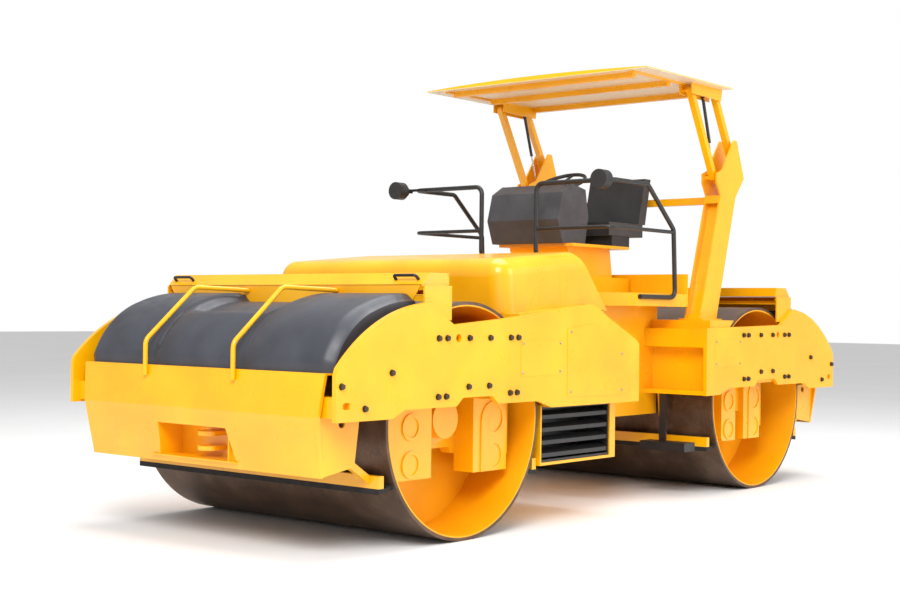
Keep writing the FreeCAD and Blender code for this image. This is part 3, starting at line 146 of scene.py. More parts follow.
def rolled_steel(name, centre_y):
    """Rolled steel, brown with use and scored round the drum, with yellow enamel inside the shell."""
    material, tree, coords, shader = started(name, {})
    part = add(tree, "ShaderNodeSeparateXYZ", {"Vector": coords})
    ahead = add(tree, "ShaderNodeMath", {0: part.outputs["Y"], 1: centre_y}, {"operation": "SUBTRACT"})
    above = add(tree, "ShaderNodeMath", {0: part.outputs["Z"], 1: AXLE_Z}, {"operation": "SUBTRACT"})
    spoke = add(tree, "ShaderNodeCombineXYZ", {"X": ahead.outputs["Value"], "Y": above.outputs["Value"]})
    radius = add(tree, "ShaderNodeVectorMath", {0: spoke.outputs["Vector"]}, {"operation": "LENGTH"})
    outside = add(
        tree, "ShaderNodeMapRange",
        {
            "Value": radius.outputs["Value"], "From Min": DRUM_RAD - 0.022,
            "From Max": DRUM_RAD - 0.018, "To Min": 0.0, "To Max": 1.0,
        },
    )
    rounds = add(tree, "ShaderNodeMapping", {"Vector": coords, "Scale": (1, 0.012, 0.012)})
    scores = add(
        tree, "ShaderNodeTexNoise",
        {"Vector": rounds.outputs["Vector"], "Scale": per_metre(2.5), "Detail": 2.0},
    )
    patches = add(
        tree, "ShaderNodeTexNoise",
        {"Vector": coords, "Scale": per_metre(180), "Detail": 6.0, "Roughness": 0.65},
    )
    brown = add(
        tree, "ShaderNodeValToRGB", {"Fac": patches.outputs["Fac"]},
        stops=((0.25, "#4A382D"), (0.5, "#6A5341"), (0.78, "#8A7462")),
    )
    scored = add(
        tree, "ShaderNodeMapRange",
        {"Value": scores.outputs["Fac"], "From Min": 0.35, "From Max": 0.75, "To Min": 0.0, "To Max": 0.55},
    )
    lined = add(
        tree, "ShaderNodeMix",
        {0: scored.outputs["Result"], 6: brown.outputs["Color"], 7: linear("#3F3028")},
        {"data_type": "RGBA"},
    )
    pits = add(tree, "ShaderNodeTexNoise", {"Vector": coords, "Scale": per_metre(5), "Detail": 4.0})
    specks = add(
        tree, "ShaderNodeMapRange",
        {"Value": pits.outputs["Fac"], "From Min": 0.56, "From Max": 0.72, "To Min": 0.0, "To Max": 0.5},
    )
    worn = add(
        tree, "ShaderNodeMix",
        {0: specks.outputs["Result"], 6: lined.outputs[2], 7: linear("#9A8778")},
        {"data_type": "RGBA"},
    )
    cloud = add(tree, "ShaderNodeTexNoise", {"Vector": coords, "Scale": per_metre(300), "Detail": 4.0})
    enamel = add(
        tree, "ShaderNodeValToRGB", {"Fac": cloud.outputs["Fac"]},
        stops=((0.3, YELLOW_DEEP), (0.7, YELLOW)),
    )
    both = add(
        tree, "ShaderNodeMix",
        {0: outside.outputs["Result"], 6: enamel.outputs["Color"], 7: worn.outputs[2]},
        {"data_type": "RGBA"},
    )
    metal = add(
        tree, "ShaderNodeMapRange", {"Value": outside.outputs["Result"], "To Min": 0.0, "To Max": 0.55}
    )
    gloss = add(
        tree, "ShaderNodeMapRange",
        {"Value": patches.outputs["Fac"], "From Min": 0.3, "From Max": 0.7, "To Min": 0.36, "To Max": 0.55},
    )
    relief = add(
        tree, "ShaderNodeMath", {0: scores.outputs["Fac"], 1: specks.outputs["Result"]},
        {"operation": "ADD"},
    )
    bump = add(
        tree, "ShaderNodeBump", {"Height": relief.outputs["Value"], "Distance": 0.0003, "Strength": 0.4}
    )
    feed(
        tree, shader,
        {
            "Base Color": both.outputs[2], "Metallic": metal.outputs["Result"],
            "Roughness": gloss.outputs["Result"], "Normal": bump.outputs["Normal"],
        },
    )
    return material


def tank_polyethylene():
    """Rotomoulded polyethylene: dark blue-grey, satin, with a fine pebble from the mould."""
    material, tree, coords, shader = started("tank_polyethylene", {"IOR": 1.51})
    cloud = add(tree, "ShaderNodeTexNoise", {"Vector": coords, "Scale": per_metre(240), "Detail": 5.0})
    tint = add(
        tree, "ShaderNodeValToRGB", {"Fac": cloud.outputs["Fac"]}, stops=((0.3, "#33353C"), (0.7, "#42444D"))
    )
    haze = add(tree, "ShaderNodeTexNoise", {"Vector": coords, "Scale": per_metre(90), "Detail": 4.0})
    gloss = add(
        tree, "ShaderNodeMapRange",
        {"Value": haze.outputs["Fac"], "From Min": 0.3, "From Max": 0.7, "To Min": 0.34, "To Max": 0.48},
    )
    pebble = add(tree, "ShaderNodeTexNoise", {"Vector": coords, "Scale": per_metre(3), "Detail": 2.0})
    bump = add(
        tree, "ShaderNodeBump", {"Height": pebble.outputs["Fac"], "Distance": 0.00025, "Strength": 0.35}
    )
    feed(
        tree, shader,
        {
            "Base Color": tint.outputs["Color"], "Roughness": gloss.outputs["Result"],
            "Normal": bump.outputs["Normal"],
        },
    )
    return material


def black_enamel():
    """Satin black enamel on tube and plate, dusty here and there."""
    material, tree, coords, shader = started("black_enamel", {"Coat Weight": 0.15, "Coat Roughness": 0.3})
    cloud = add(tree, "ShaderNodeTexNoise", {"Vector": coords, "Scale": per_metre(60), "Detail": 6.0})
    dust = add(
        tree, "ShaderNodeMapRange",
        {"Value": cloud.outputs["Fac"], "From Min": 0.55, "From Max": 0.8, "To Min": 0.0, "To Max": 0.35},
    )
    tint = add(
        tree, "ShaderNodeMix",
        {0: dust.outputs["Result"], 6: linear("#1C1C1E"), 7: linear("#3B3935")}, {"data_type": "RGBA"},
    )
    haze = add(tree, "ShaderNodeTexNoise", {"Vector": coords, "Scale": per_metre(35), "Detail": 4.0})
    gloss = add(
        tree, "ShaderNodeMapRange",
        {"Value": haze.outputs["Fac"], "From Min": 0.3, "From Max": 0.7, "To Min": 0.33, "To Max": 0.5},
    )
    peel = add(tree, "ShaderNodeTexNoise", {"Vector": coords, "Scale": per_metre(4), "Detail": 2.0})
    bump = add(
        tree, "ShaderNodeBump", {"Height": peel.outputs["Fac"], "Distance": 0.0001, "Strength": 0.3}
    )
    feed(
        tree, shader,
        {
            "Base Color": tint.outputs[2], "Roughness": gloss.outputs["Result"],
            "Normal": bump.outputs["Normal"],
        },
    )
    return material


def moulded_plastic(name, light, dark, grain_mm):
    """Injection-moulded plastic with a spark-eroded grain that dulls the light."""
    material, tree, coords, shader = started(name, {"IOR": 1.5})
    cloud = add(tree, "ShaderNodeTexNoise", {"Vector": coords, "Scale": per_metre(120), "Detail": 4.0})
    tint = add(
        tree, "ShaderNodeValToRGB", {"Fac": cloud.outputs["Fac"]}, stops=((0.3, dark), (0.7, light))
    )
    haze = add(tree, "ShaderNodeTexNoise", {"Vector": coords, "Scale": per_metre(70), "Detail": 3.0})
    gloss = add(
        tree, "ShaderNodeMapRange",
        {"Value": haze.outputs["Fac"], "From Min": 0.3, "From Max": 0.7, "To Min": 0.44, "To Max": 0.58},
    )
    grain = add(tree, "ShaderNodeTexNoise", {"Vector": coords, "Scale": per_metre(grain_mm), "Detail": 1.0})
    bump = add(
        tree, "ShaderNodeBump", {"Height": grain.outputs["Fac"], "Distance": 0.00012, "Strength": 0.5}
    )
    feed(
        tree, shader,
        {
            "Base Color": tint.outputs["Color"], "Roughness": gloss.outputs["Result"],
            "Normal": bump.outputs["Normal"],
        },
    )
    return material


def seat_vinyl():
    """Black vinyl with a leather grain, shinier where a driver has sat."""
    material, tree, coords, shader = started("seat_vinyl", {"Sheen Weight": 0.15})
    cells = add(
        tree, "ShaderNodeTexVoronoi", {"Vector": coords, "Scale": per_metre(3.0)},
        {"feature": "DISTANCE_TO_EDGE"},
    )
    creases = add(
        tree, "ShaderNodeMapRange", {"Value": cells.outputs["Distance"], "From Min": 0.0, "From Max": 0.12}
    )
    cloud = add(tree, "ShaderNodeTexNoise", {"Vector": coords, "Scale": per_metre(150), "Detail": 4.0})
    tint = add(
        tree, "ShaderNodeValToRGB", {"Fac": cloud.outputs["Fac"]}, stops=((0.3, "#202023"), (0.7, "#2E2E31"))
    )
    shine = add(tree, "ShaderNodeTexNoise", {"Vector": coords, "Scale": per_metre(90), "Detail": 3.0})
    gloss = add(
        tree, "ShaderNodeMapRange",
        {"Value": shine.outputs["Fac"], "From Min": 0.3, "From Max": 0.7, "To Min": 0.38, "To Max": 0.56},
    )
    bump = add(
        tree, "ShaderNodeBump", {"Height": creases.outputs["Result"], "Distance": 0.0002, "Strength": 0.5}
    )
    feed(
        tree, shader,
        {
            "Base Color": tint.outputs["Color"], "Roughness": gloss.outputs["Result"],
            "Normal": bump.outputs["Normal"],
        },
    )
    return material


def plated_steel(name, bright, dull, roughness):
    """Plated fasteners: a metal with a cloudy passivated film."""
    material, tree, coords, shader = started(name, {"Metallic": 0.85, "Roughness": roughness})
    film = add(tree, "ShaderNodeTexNoise", {"Vector": coords, "Scale": per_metre(14), "Detail": 3.0})
    tint = add(
        tree, "ShaderNodeValToRGB", {"Fac": film.outputs["Fac"]}, stops=((0.3, dull), (0.7, bright))
    )
    grit = add(tree, "ShaderNodeTexNoise", {"Vector": coords, "Scale": per_metre(2), "Detail": 3.0})
    bump = add(
        tree, "ShaderNodeBump", {"Height": grit.outputs["Fac"], "Distance": 0.00005, "Strength": 0.4}
    )
    feed(tree, shader, {"Base Color": tint.outputs["Color"], "Normal": bump.outputs["Normal"]})
    return material


def matt_rubber():
    """Filled rubber: near black, matt, greyed by dust."""
    material, tree, coords, shader = started("matt_rubber", {"Roughness": 0.8})
    dust = add(tree, "ShaderNodeTexNoise", {"Vector": coords, "Scale": per_metre(40), "Detail": 5.0})
    tint = add(
        tree, "ShaderNodeValToRGB", {"Fac": dust.outputs["Fac"]}, stops=((0.35, "#171615"), (0.75, "#2B2927"))
    )
    grit = add(tree, "ShaderNodeTexNoise", {"Vector": coords, "Scale": per_metre(5), "Detail": 3.0})
    bump = add(
        tree, "ShaderNodeBump", {"Height": grit.outputs["Fac"], "Distance": 0.0003, "Strength": 0.4}
    )
    feed(tree, shader, {"Base Color": tint.outputs["Color"], "Normal": bump.outputs["Normal"]})
    return material


def hard_chrome():
    """Hard chrome on ground rod: a clear mirror with fine lengthwise lay."""
    material, tree, coords, shader = started("hard_chrome", {"Metallic": 1.0, "Roughness": 0.14})
    film = add(tree, "ShaderNodeTexNoise", {"Vector": coords, "Scale": per_metre(30), "Detail": 3.0})
    tint = add(
        tree, "ShaderNodeValToRGB", {"Fac": film.outputs["Fac"]}, stops=((0.3, "#C4C6CA"), (0.7, "#DCDDE0"))
    )
    lengthwise = add(tree, "ShaderNodeMapping", {"Vector": coords, "Scale": (1, 0.05, 0.05)})
    lay = add(
        tree, "ShaderNodeTexNoise",
        {"Vector": lengthwise.outputs["Vector"], "Scale": per_metre(1.5), "Detail": 3.0},
    )
    bump = add(
        tree, "ShaderNodeBump", {"Height": lay.outputs["Fac"], "Distance": 0.00002, "Strength": 0.3}
    )
    feed(tree, shader, {"Base Color": tint.outputs["Color"], "Normal": bump.outputs["Normal"]})
    return material


def cast_iron():
    """Painted cast iron, rough from the sand mould."""
    material, tree, coords, shader = started("cast_iron", {"Roughness": 0.6})
    cloud = add(tree, "ShaderNodeTexNoise", {"Vector": coords, "Scale": per_metre(60), "Detail": 5.0})
    tint = add(
        tree, "ShaderNodeValToRGB", {"Fac": cloud.outputs["Fac"]}, stops=((0.3, "#3A3B3C"), (0.7, "#505152"))
    )
    sand = add(tree, "ShaderNodeTexNoise", {"Vector": coords, "Scale": per_metre(6), "Detail": 4.0})
    bump = add(
        tree, "ShaderNodeBump", {"Height": sand.outputs["Fac"], "Distance": 0.0006, "Strength": 0.5}
    )
    feed(tree, shader, {"Base Color": tint.outputs["Color"], "Normal": bump.outputs["Normal"]})
    return material


def roof_laminate(low_z):
    """Hand-laid laminate: yellow gelcoat above, bare beige resin with its strands below."""
    material, tree, coords, shader = started(
        "roof_laminate", {"Roughness": 0.42, "Coat Weight": 0.2, "Coat Roughness": 0.2}
    )
    part = add(tree, "ShaderNodeSeparateXYZ", {"Vector": coords})
    above = add(
        tree, "ShaderNodeMapRange",
        {"Value": part.outputs["Z"], "From Min": low_z + 0.002, "From Max": low_z + 0.003},
    )
    crosswise = add(tree, "ShaderNodeMapping", {"Vector": coords, "Scale": (1, 2.5, 1)})
    strands = add(
        tree, "ShaderNodeTexNoise",
        {"Vector": crosswise.outputs["Vector"], "Scale": per_metre(26), "Detail": 5.0},
    )
    beige = add(
        tree, "ShaderNodeValToRGB", {"Fac": strands.outputs["Fac"]},
        stops=((0.3, "#DCC9A4"), (0.55, "#E9DBBE"), (0.8, "#F1E7CF")),
    )
    cloud = add(tree, "ShaderNodeTexNoise", {"Vector": coords, "Scale": per_metre(420), "Detail": 3.0})
    gelcoat = add(
        tree, "ShaderNodeValToRGB", {"Fac": cloud.outputs["Fac"]},
        stops=((0.3, YELLOW), (0.7, YELLOW_LIGHT)),
    )
    both = add(
        tree, "ShaderNodeMix",
        {0: above.outputs["Result"], 6: beige.outputs["Color"], 7: gelcoat.outputs["Color"]},
        {"data_type": "RGBA"},
    )
    bump = add(
        tree, "ShaderNodeBump", {"Height": strands.outputs["Fac"], "Distance": 0.0003, "Strength": 0.25}
    )
    feed(tree, shader, {"Base Color": both.outputs[2], "Normal": bump.outputs["Normal"]})
    return material


YELLOW_PAINT = yellow_enamel()
TANK_SKIN = tank_polyethylene()
BLACK_PAINT = black_enamel()
BLACK_NYLON = moulded_plastic("black_nylon", "#2A2A2C", "#1B1B1D", 1.6)
CONSOLE_ABS = moulded_plastic("console_abs", "#45454A", "#37373B", 2.2)
SEAT_VINYL = seat_vinyl()
DARK_BOLT = plated_steel("black_oxide_steel", "#5A534C", "#3D3833", 0.42)
ZINC = plated_steel("zinc_plated_steel", "#B9AC98", "#94866F", 0.38)
RUBBER = matt_rubber()
CHROME = hard_chrome()
IRON = cast_iron()

NODE_FINISH = {
    "side_grilles": BLACK_PAINT,
    "handrails": BLACK_PAINT,
    "access_steps": BLACK_PAINT,
    "canopy_strut_barrels": BLACK_PAINT,
    "engine_block": IRON,
    "console": CONSOLE_ABS,
    "steering_wheel": BLACK_NYLON,
    "seat_frame": BLACK_NYLON,
    "seat_cushion": SEAT_VINYL,
    "seat_back": SEAT_VINYL,
    "work_lamps": BLACK_NYLON,
    "steering_rod": CHROME,
    "canopy_strut_rods": CHROME,
    "canopy_roof": roof_laminate(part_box("canopy_roof")[0].z),
}
for end_name, end in ENDS:
    NODE_FINISH[f"{end_name}_drum"] = rolled_steel(f"{end_name}_rolled_steel", end * AXLE)
    NODE_FINISH[f"{end_name}_water_tank"] = TANK_SKIN
    NODE_FINISH[f"{end_name}_scraper_blades"] = RUBBER
    NODE_FINISH[f"{end_name}_lid_handles"] = BLACK_NYLON


def dress_nodes():
    """Give every node of the frame its finish."""
    for name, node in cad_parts.items():
        node.data.materials.clear()
        node.data.materials.append(NODE_FINISH.get(name, YELLOW_PAINT))


dress_nodes()


# Mesh helpers
def piece(name, mesh, material, body, smooth=None):
    """A finished mesh as a piece that rides on a body; smooth is the angle up to which it is smooth."""
    thing = bpy.data.objects.new(name, mesh)
    bpy.context.scene.collection.objects.link(thing)
    mesh.materials.clear()
    mesh.materials.append(material)
    if smooth is not None:
        mesh.shade_smooth()
        mesh.set_sharp_from_angle(angle=math.radians(smooth))
    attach(thing, body)
    return thing


def from_bmesh(name, work):
    """A mesh from the faces under work."""
    mesh = bpy.data.meshes.new(name)
    work.to_mesh(mesh)
    work.free()
    return mesh


def settled(thing):
    """The mesh of an object with its modifiers done; the object goes."""
    bpy.context.view_layer.update()
    graph = bpy.context.evaluated_depsgraph_get()
    mesh = bpy.data.meshes.new_from_object(thing.evaluated_get(graph))
    bpy.data.objects.remove(thing)
    return mesh


def plate_mesh(name, outline, near, far, bevel):
    """An outline of (y, z) points thickened between two places on X, its edges broken."""
    work = bmesh.new()
    low = [work.verts.new((near, y, z)) for y, z in outline]
    high = [work.verts.new((far, y, z)) for y, z in outline]
    work.faces.new(low)
    work.faces.new(high[::-1])
    for index in range(len(outline)):
        after = (index + 1) % len(outline)
        work.faces.new((low[index], high[index], high[after], low[after]))
    bmesh.ops.recalc_face_normals(work, faces=work.faces)
    bmesh.ops.bevel(
        work, geom=work.edges[:], offset=bevel, segments=1, affect="EDGES", clamp_overlap=True
    )
    return from_bmesh(name, work)


def joined(name, meshes):
    """Several meshes as one."""
    work = bmesh.new()
    for mesh in meshes:
        work.from_mesh(mesh)
        bpy.data.meshes.remove(mesh)
    return from_bmesh(name, work)


CORNER_STEPS = 4


def rounded_outline(corners, radius):
    """A polygon with its corners rounded by arcs."""
    outline = []
    spots = [Vector(corner) for corner in corners]
    for index, corner in enumerate(spots):
        before = (spots[index - 1] - corner).normalized()
        after = (spots[(index + 1) % len(spots)] - corner).normalized()
        half_open = before.angle(after) / 2
        reach = radius / math.tan(half_open)
        centre = corner + (before + after).normalized() * (radius / math.sin(half_open))
        first = corner + before * reach - centre
        last = corner + after * reach - centre
        turn = first.angle_signed(last)
        for step in range(CORNER_STEPS + 1):
            angle = -turn * step / CORNER_STEPS
            outline.append(tuple(centre + Matrix.Rotation(angle, 2) @ first))
    return outline


# Fasteners: a head on a washer at each point, turned along the point's own axis
WASHER_SIDES = 20


def fastener_tree():
    """The repeat of a head and its washer, with its sizes and material as inputs."""
    tree = bpy.data.node_groups.new("fasteners", "GeometryNodeTree")
    sockets = (
        ("Points", "NodeSocketGeometry"), ("Head sides", "NodeSocketInt"),
        ("Head radius", "NodeSocketFloat"), ("Head height", "NodeSocketFloat"),
        ("Crown radius", "NodeSocketFloat"), ("Washer radius", "NodeSocketFloat"),
        ("Washer height", "NodeSocketFloat"), ("Material", "NodeSocketMaterial"),
    )
    for name, kind in sockets:
        tree.interface.new_socket(name, in_out="INPUT", socket_type=kind)
    tree.interface.new_socket("Geometry", in_out="OUTPUT", socket_type="NodeSocketGeometry")
    given = tree.nodes.new("NodeGroupInput").outputs
    head = add(
        tree, "GeometryNodeMeshCone",
        {
            "Vertices": given["Head sides"], "Radius Bottom": given["Head radius"],
            "Radius Top": given["Crown radius"], "Depth": given["Head height"],
        },
    )
    washer = add(
        tree, "GeometryNodeMeshCylinder",
        {"Vertices": WASHER_SIDES, "Radius": given["Washer radius"], "Depth": given["Washer height"]},
    )
    lift = add(tree, "ShaderNodeCombineXYZ", {"Z": given["Washer height"]})
    raised = add(
        tree, "GeometryNodeTransform",
        {"Geometry": head.outputs["Mesh"], "Translation": lift.outputs["Vector"]},
    )
    both = add(tree, "GeometryNodeJoinGeometry", {"Geometry": raised.outputs["Geometry"]})
    tree.links.new(washer.outputs["Mesh"], both.inputs["Geometry"])
    axis = add(tree, "GeometryNodeInputNamedAttribute", {"Name": "axis"}, {"data_type": "FLOAT_VECTOR"})
    turn = add(
        tree, "FunctionNodeAlignRotationToVector",
        {"Vector": axis.outputs["Attribute"]}, {"axis": "Z"},
    )
    placed = add(
        tree, "GeometryNodeInstanceOnPoints",
        {
            "Points": given["Points"], "Instance": both.outputs["Geometry"],
            "Rotation": turn.outputs["Rotation"],
        },
    )
    real = add(tree, "GeometryNodeRealizeInstances", {"Geometry": placed.outputs["Instances"]})
    painted = add(
        tree, "GeometryNodeSetMaterial",
        {"Geometry": real.outputs["Geometry"], "Material": given["Material"]},
    )
    add(tree, "NodeGroupOutput", {"Geometry": painted.outputs["Geometry"]})
    return tree


FASTENERS = fastener_tree()
# Head sides, head radius, head height, crown radius, washer radius, washer height
HEX_M20 = (6, 0.0165, 0.013, 0.0155, 0.019, 0.004)
PAN_M8 = (14, 0.0075, 0.0045, 0.0045, 0.0095, 0.0016)


def fasteners(name, spots, size, material, body):
    """Fasteners at (point, axis) pairs, as one mesh that rides on a body."""
    points = bpy.data.meshes.new(f"{name}_points")
    points.from_pydata([spot for spot, axis in spots], [], [])
    attribute = points.attributes.new("axis", "FLOAT_VECTOR", "POINT")
    for item, (spot, axis) in zip(attribute.data, spots):
        item.vector = axis
    carrier = bpy.data.objects.new(f"{name}_carrier", points)
    bpy.context.scene.collection.objects.link(carrier)
    modifier = carrier.modifiers.new("fasteners", "NODES")
    modifier.node_group = FASTENERS
    inputs = [item for item in FASTENERS.interface.items_tree if item.in_out == "INPUT"]
    for item, value in zip(inputs[1:], (*size, material)):
        modifier[item.identifier] = value
    return piece(name, settled(carrier), material, body)


# Side plates: heavy bolts, access panels and their screws, at (out from the axle, z) of a plate
PLATE_BOLTS = (
    (0.3595, 1.188), (0.2855, 1.188), (0.0855, 1.188), (-0.1075, 1.188), (-0.3055, 1.188),
    (-0.3795, 1.188), (0.3615, 0.858), (0.2915, 0.858), (0.0905, 0.907), (-0.1005, 0.907),
    (-0.3035, 0.858), (-0.3705, 0.858), (1.1395, 0.940), (0.9605, 0.817), (0.7495, 1.003),
)
SMALL_PANEL = {
    "front": ((-0.8375, 0.952), (-0.4085, 0.952), (-0.4085, 1.173), (-0.8375, 1.173)),
    "rear": ((-0.8105, 0.957), (-0.4135, 0.957), (-0.4135, 1.163), (-0.8105, 1.163)),
}
LARGE_PANEL = ((-0.8965, 0.810), (-0.8935, 1.245), (-1.1895, 1.274), (-1.5865, 1.098), (-1.5725, 0.804))
LARGE_PANEL_SCREWS = ((-0.935, 0.842), (-0.935, 1.222), (-1.520, 1.075), (-1.520, 0.836))
PANEL_WALL = 0.003
PANEL_BEVEL = 0.0008
PANEL_ROUND = 0.012
SCREW_INSET = 0.022


def dress_side_plates():
    """Panels, bolts and screws of both plates at each end, one piece of each sort a body."""
    for end_name, end in ENDS:
        body = FRAME_BODY[end_name]
        bolts = []
        screws = []
        panels = []
        for side_name, side in SIDES:
            corners = SMALL_PANEL[end_name]
            outlines = [corners]
            middle = sum((Vector(corner) for corner in corners), Vector((0, 0))) / len(corners)
            screw_spots = [
                (
                    u + math.copysign(SCREW_INSET, middle.x - u),
                    v + math.copysign(SCREW_INSET, middle.y - v),
                )
                for u, v in corners
            ]
            if end_name == "front":
                outlines.append(LARGE_PANEL)
                screw_spots += LARGE_PANEL_SCREWS
            face = side * PLATE_FACE
            for index, outline in enumerate(outlines):
                rounded = rounded_outline([(end * (AXLE + u), v) for u, v in outline], PANEL_ROUND)
                panels.append(
                    plate_mesh(
                        f"{end_name}_{side_name}_{index}", rounded, face, face + side * PANEL_WALL,
                        PANEL_BEVEL,
                    )
                )
            bolts += [((face, end * (AXLE + u), v), (side, 0, 0)) for u, v in PLATE_BOLTS]
            screws += [
                ((face + side * PANEL_WALL, end * (AXLE + u), v), (side, 0, 0)) for u, v in screw_spots
            ]
        piece(f"{end_name}_access_panels", joined("panels", panels), YELLOW_PAINT, body)
        fasteners(f"{end_name}_plate_bolts", bolts, HEX_M20, DARK_BOLT, body)
        fasteners(f"{end_name}_panel_screws", screws, PAN_M8, ZINC, body)


# Water tanks: moulded skins with a sunk middle and two grooves
PANEL_TOP = 1.005
TANK_SEAT = PANEL_TOP + 0.0005
TANK_TOP = 1.440
TANK_HALF = 1.048
TANK_COLUMNS = 150
RIB_OUT = 0.385
RIB_SLOPE = 0.075
SINK_DEPTH = 0.055
GROOVE_DEPTH = 0.014
GROOVE_WIDE = 0.010
END_DROP = 0.045
END_ROUND = 0.10
BAND_DEPTH = 0.006
# The foot as (out, height over its seat), and each arc's end as (out, drop from the top), radius, steps
TANK_FOOT = ((1.128, 0.0), (1.1265, 0.030), (1.124, 0.062))
TANK_ARCS = (((0.800, 0.062), 0.520, 18), ((0.455, 0.0), 0.900, 14))
TANK_BACK = ((0.4545, 0.02), (0.4545, 0.09))
# The skin sinks towards a point this far out from the axle, at the axle's height
SINK_TOWARDS = 0.35
# Shares of the way over the tank, between which each of these comes in or ends
GROOVE_START = (0.05, 0.12)
SINK_START = (0.40, 0.50)
BAND_END = (0.045, 0.06)
TANK_SMOOTH = 40


def arc_through(start, end, radius, steps):
    """Points of the arc that bulges outwards between two points."""
    p, q = Vector(start), Vector(end)
    chord = q - p
    lift = math.sqrt(max(radius ** 2 - chord.length ** 2 / 4, 0))
    middle = (p + q) / 2 + Vector((-chord.y, chord.x)).normalized() * lift
    first, last = p - middle, q - middle
    turn = first.angle_signed(last)
    return [middle + Matrix.Rotation(-turn * step / steps, 2) @ first for step in range(1, steps + 1)]


def smooth_step(value, low, high):
    """A share that runs smoothly from nought at low to one at high."""
    way = min(max((value - low) / (high - low), 0.0), 1.0)
    return way * way * (3 - 2 * way)


def tank_line():
    """The tank's outline from its front foot over the top to its back foot, as (out, z) points."""
    line = [Vector((out, TANK_SEAT + height)) for out, height in TANK_FOOT]
    for (out, drop), radius, steps in TANK_ARCS:
        line += arc_through(line[-1], (out, TANK_TOP - drop), radius, steps)
    return line + [Vector((out, TANK_TOP - drop)) for out, drop in TANK_BACK]


def tank_sink(x, way):
    """How deep the skin lies under the tank's outline; way runs from the front foot to the back."""
    distance = abs(x)
    end_drop = END_DROP * smooth_step(distance, TANK_HALF - END_ROUND, TANK_HALF) ** 2
    groove = GROOVE_DEPTH * math.exp(-((distance - RIB_OUT) / GROOVE_WIDE) ** 2)
    groove *= smooth_step(way, *GROOVE_START)
    sunk = (1 - smooth_step(distance, RIB_OUT - RIB_SLOPE, RIB_OUT)) * smooth_step(way, *SINK_START)
    band = BAND_DEPTH * (1 - smooth_step(way, *BAND_END))
    return end_drop + groove + SINK_DEPTH * sunk + band


def dress_tanks():
    """A closed skin for each tank, in place of its plain solid."""
    line = tank_line()
    lengths = [0.0]
    for before, after in zip(line, line[1:]):
        lengths.append(lengths[-1] + (after - before).length)
    for end_name, end in ENDS:
        work = bmesh.new()
        grid = []
        for column in range(TANK_COLUMNS + 1):
            x = TANK_HALF * (2 * column / TANK_COLUMNS - 1)
            row = []
            for spot, length in zip(line, lengths):
                way = length / lengths[-1]
                inward = (Vector((SINK_TOWARDS, AXLE_Z)) - spot).normalized()
                skin = spot + inward * tank_sink(x, way)
                row.append(work.verts.new((x, end * (AXLE + skin.x), max(skin.y, TANK_SEAT))))
            grid.append(row)
        for left, right in zip(grid, grid[1:]):
            for index in range(len(line) - 1):
                work.faces.new((left[index], left[index + 1], right[index + 1], right[index]))
        for row in (grid[0], grid[-1]):
            work.faces.new(row)
        work.faces.new([row[0] for row in grid] + [row[-1] for row in grid][::-1])
        bmesh.ops.recalc_face_normals(work, faces=work.faces)
        skin = piece(
            f"{end_name}_tank_skin", from_bmesh("tank_skin", work), TANK_SKIN, FRAME_BODY[end_name],
            TANK_SMOOTH,
        )
        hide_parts(f"{end_name}_water_tank")


# Camera, light and floor
CAMERA_PLACE = (6.3496, -8.2893, 1.3388)
CAMERA_YAW = 2.26575
CAMERA_PITCH = 0.008134
CAMERA_ROLL = 0.012249
FOCAL_SHARE = 1429.7 / 900
SENSOR = 36.0
# Name, place, what it shines at, size across and power in watts of each lamp
LAMPS = (
    ("key", (5.5, -8.5, 7.5), (0, -0.5, 0.9), 5.0, 900),
    ("top", (0, 0.5, 9.0), (0, 0, 1), 7.0, 620),
    ("fill", (8.0, 3.5, 4.0), (0, 0.5, 1.0), 5.0, 260),
)
# The sky's strength on the object; where it is seen as background its strength is one
SKY_LIGHT = 0.62
FLOOR_HALF = 60


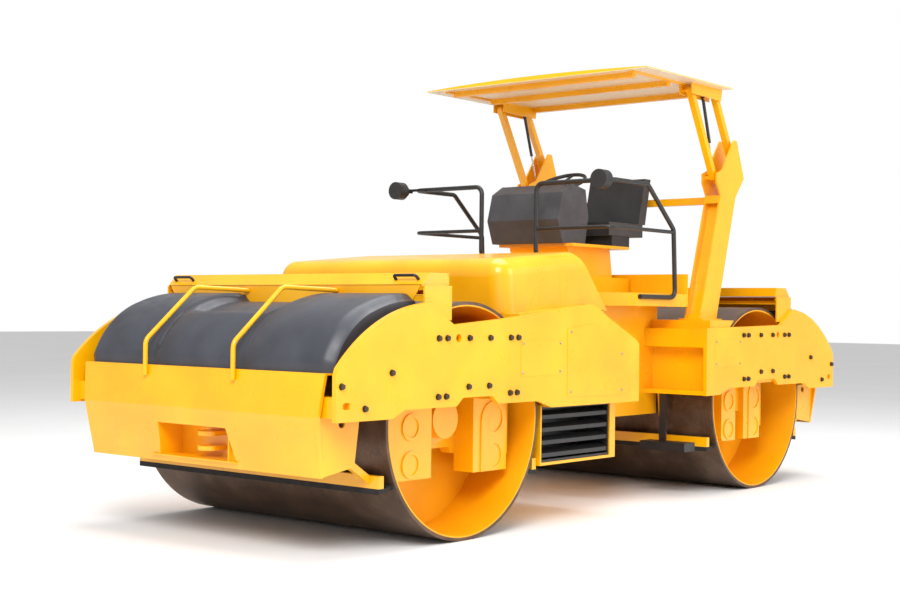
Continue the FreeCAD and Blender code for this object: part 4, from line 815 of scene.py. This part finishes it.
def make_camera():
    """The photograph's viewpoint; the focal length is a share of the frame's width."""
    lens = bpy.data.cameras.new("photo_camera")
    lens.sensor_width = SENSOR
    lens.lens = SENSOR * FOCAL_SHARE
    camera = bpy.data.objects.new("photo_camera", lens)
    bpy.context.scene.collection.objects.link(camera)
    ahead = Vector(
        (
            math.cos(CAMERA_PITCH) * math.cos(CAMERA_YAW),
            math.cos(CAMERA_PITCH) * math.sin(CAMERA_YAW),
            math.sin(CAMERA_PITCH),
        )
    )
    right = ahead.cross(Vector((0, 0, 1))).normalized()
    up = right.cross(ahead)
    turned = right * math.cos(CAMERA_ROLL) + up * math.sin(CAMERA_ROLL)
    above = up * math.cos(CAMERA_ROLL) - right * math.sin(CAMERA_ROLL)
    camera.matrix_world = Matrix.Translation(CAMERA_PLACE) @ Matrix(
        (turned, above, -ahead)
    ).transposed().to_4x4()
    bpy.context.scene.camera = camera


def make_lamp(name, place, target, size, power):
    """A square soft lamp that faces its target."""
    light = bpy.data.lights.new(name, "AREA")
    light.size = size
    light.energy = power
    lamp = bpy.data.objects.new(name, light)
    bpy.context.scene.collection.objects.link(lamp)
    lamp.location = place
    lamp.rotation_euler = (Vector(target) - Vector(place)).to_track_quat("-Z", "Y").to_euler()


def make_studio():
    """White sky, three soft lamps and a pale floor that keeps the shadow."""
    world = bpy.data.worlds.new("studio")
    world.use_nodes = True
    tree = world.node_tree
    tree.nodes.clear()
    rays = add(tree, "ShaderNodeLightPath").outputs
    seen = add(
        tree, "ShaderNodeMath", {0: rays["Is Camera Ray"], 1: rays["Is Transmission Ray"]},
        {"operation": "MAXIMUM"},
    )
    strength = add(
        tree, "ShaderNodeMapRange",
        {"Value": seen.outputs["Value"], "To Min": SKY_LIGHT, "To Max": 1.0},
    )
    sky = add(
        tree, "ShaderNodeBackground",
        {"Color": linear("#FFFFFF"), "Strength": strength.outputs["Result"]},
    )
    add(tree, "ShaderNodeOutputWorld", {"Surface": sky.outputs["Background"]})
    bpy.context.scene.world = world
    for lamp in LAMPS:
        make_lamp(*lamp)

    material, tree, coords, shader = started("studio_floor", {"Roughness": 0.8})
    cloud = add(tree, "ShaderNodeTexNoise", {"Vector": coords, "Scale": per_metre(2000), "Detail": 3.0})
    tint = add(
        tree, "ShaderNodeValToRGB", {"Fac": cloud.outputs["Fac"]},
        stops=((0.3, "#F4F4F4"), (0.7, "#F8F8F8")),
    )
    feed(tree, shader, {"Base Color": tint.outputs["Color"]})
    work = bmesh.new()
    bmesh.ops.create_grid(work, x_segments=1, y_segments=1, size=FLOOR_HALF)
    floor = bpy.data.objects.new("studio_floor", from_bmesh("studio_floor", work))
    bpy.context.scene.collection.objects.link(floor)
    floor.data.materials.append(material)


make_camera()
make_studio()
dress_side_plates()
dress_tanks()

bpy.context.scene.view_settings.view_transform = "Standard"
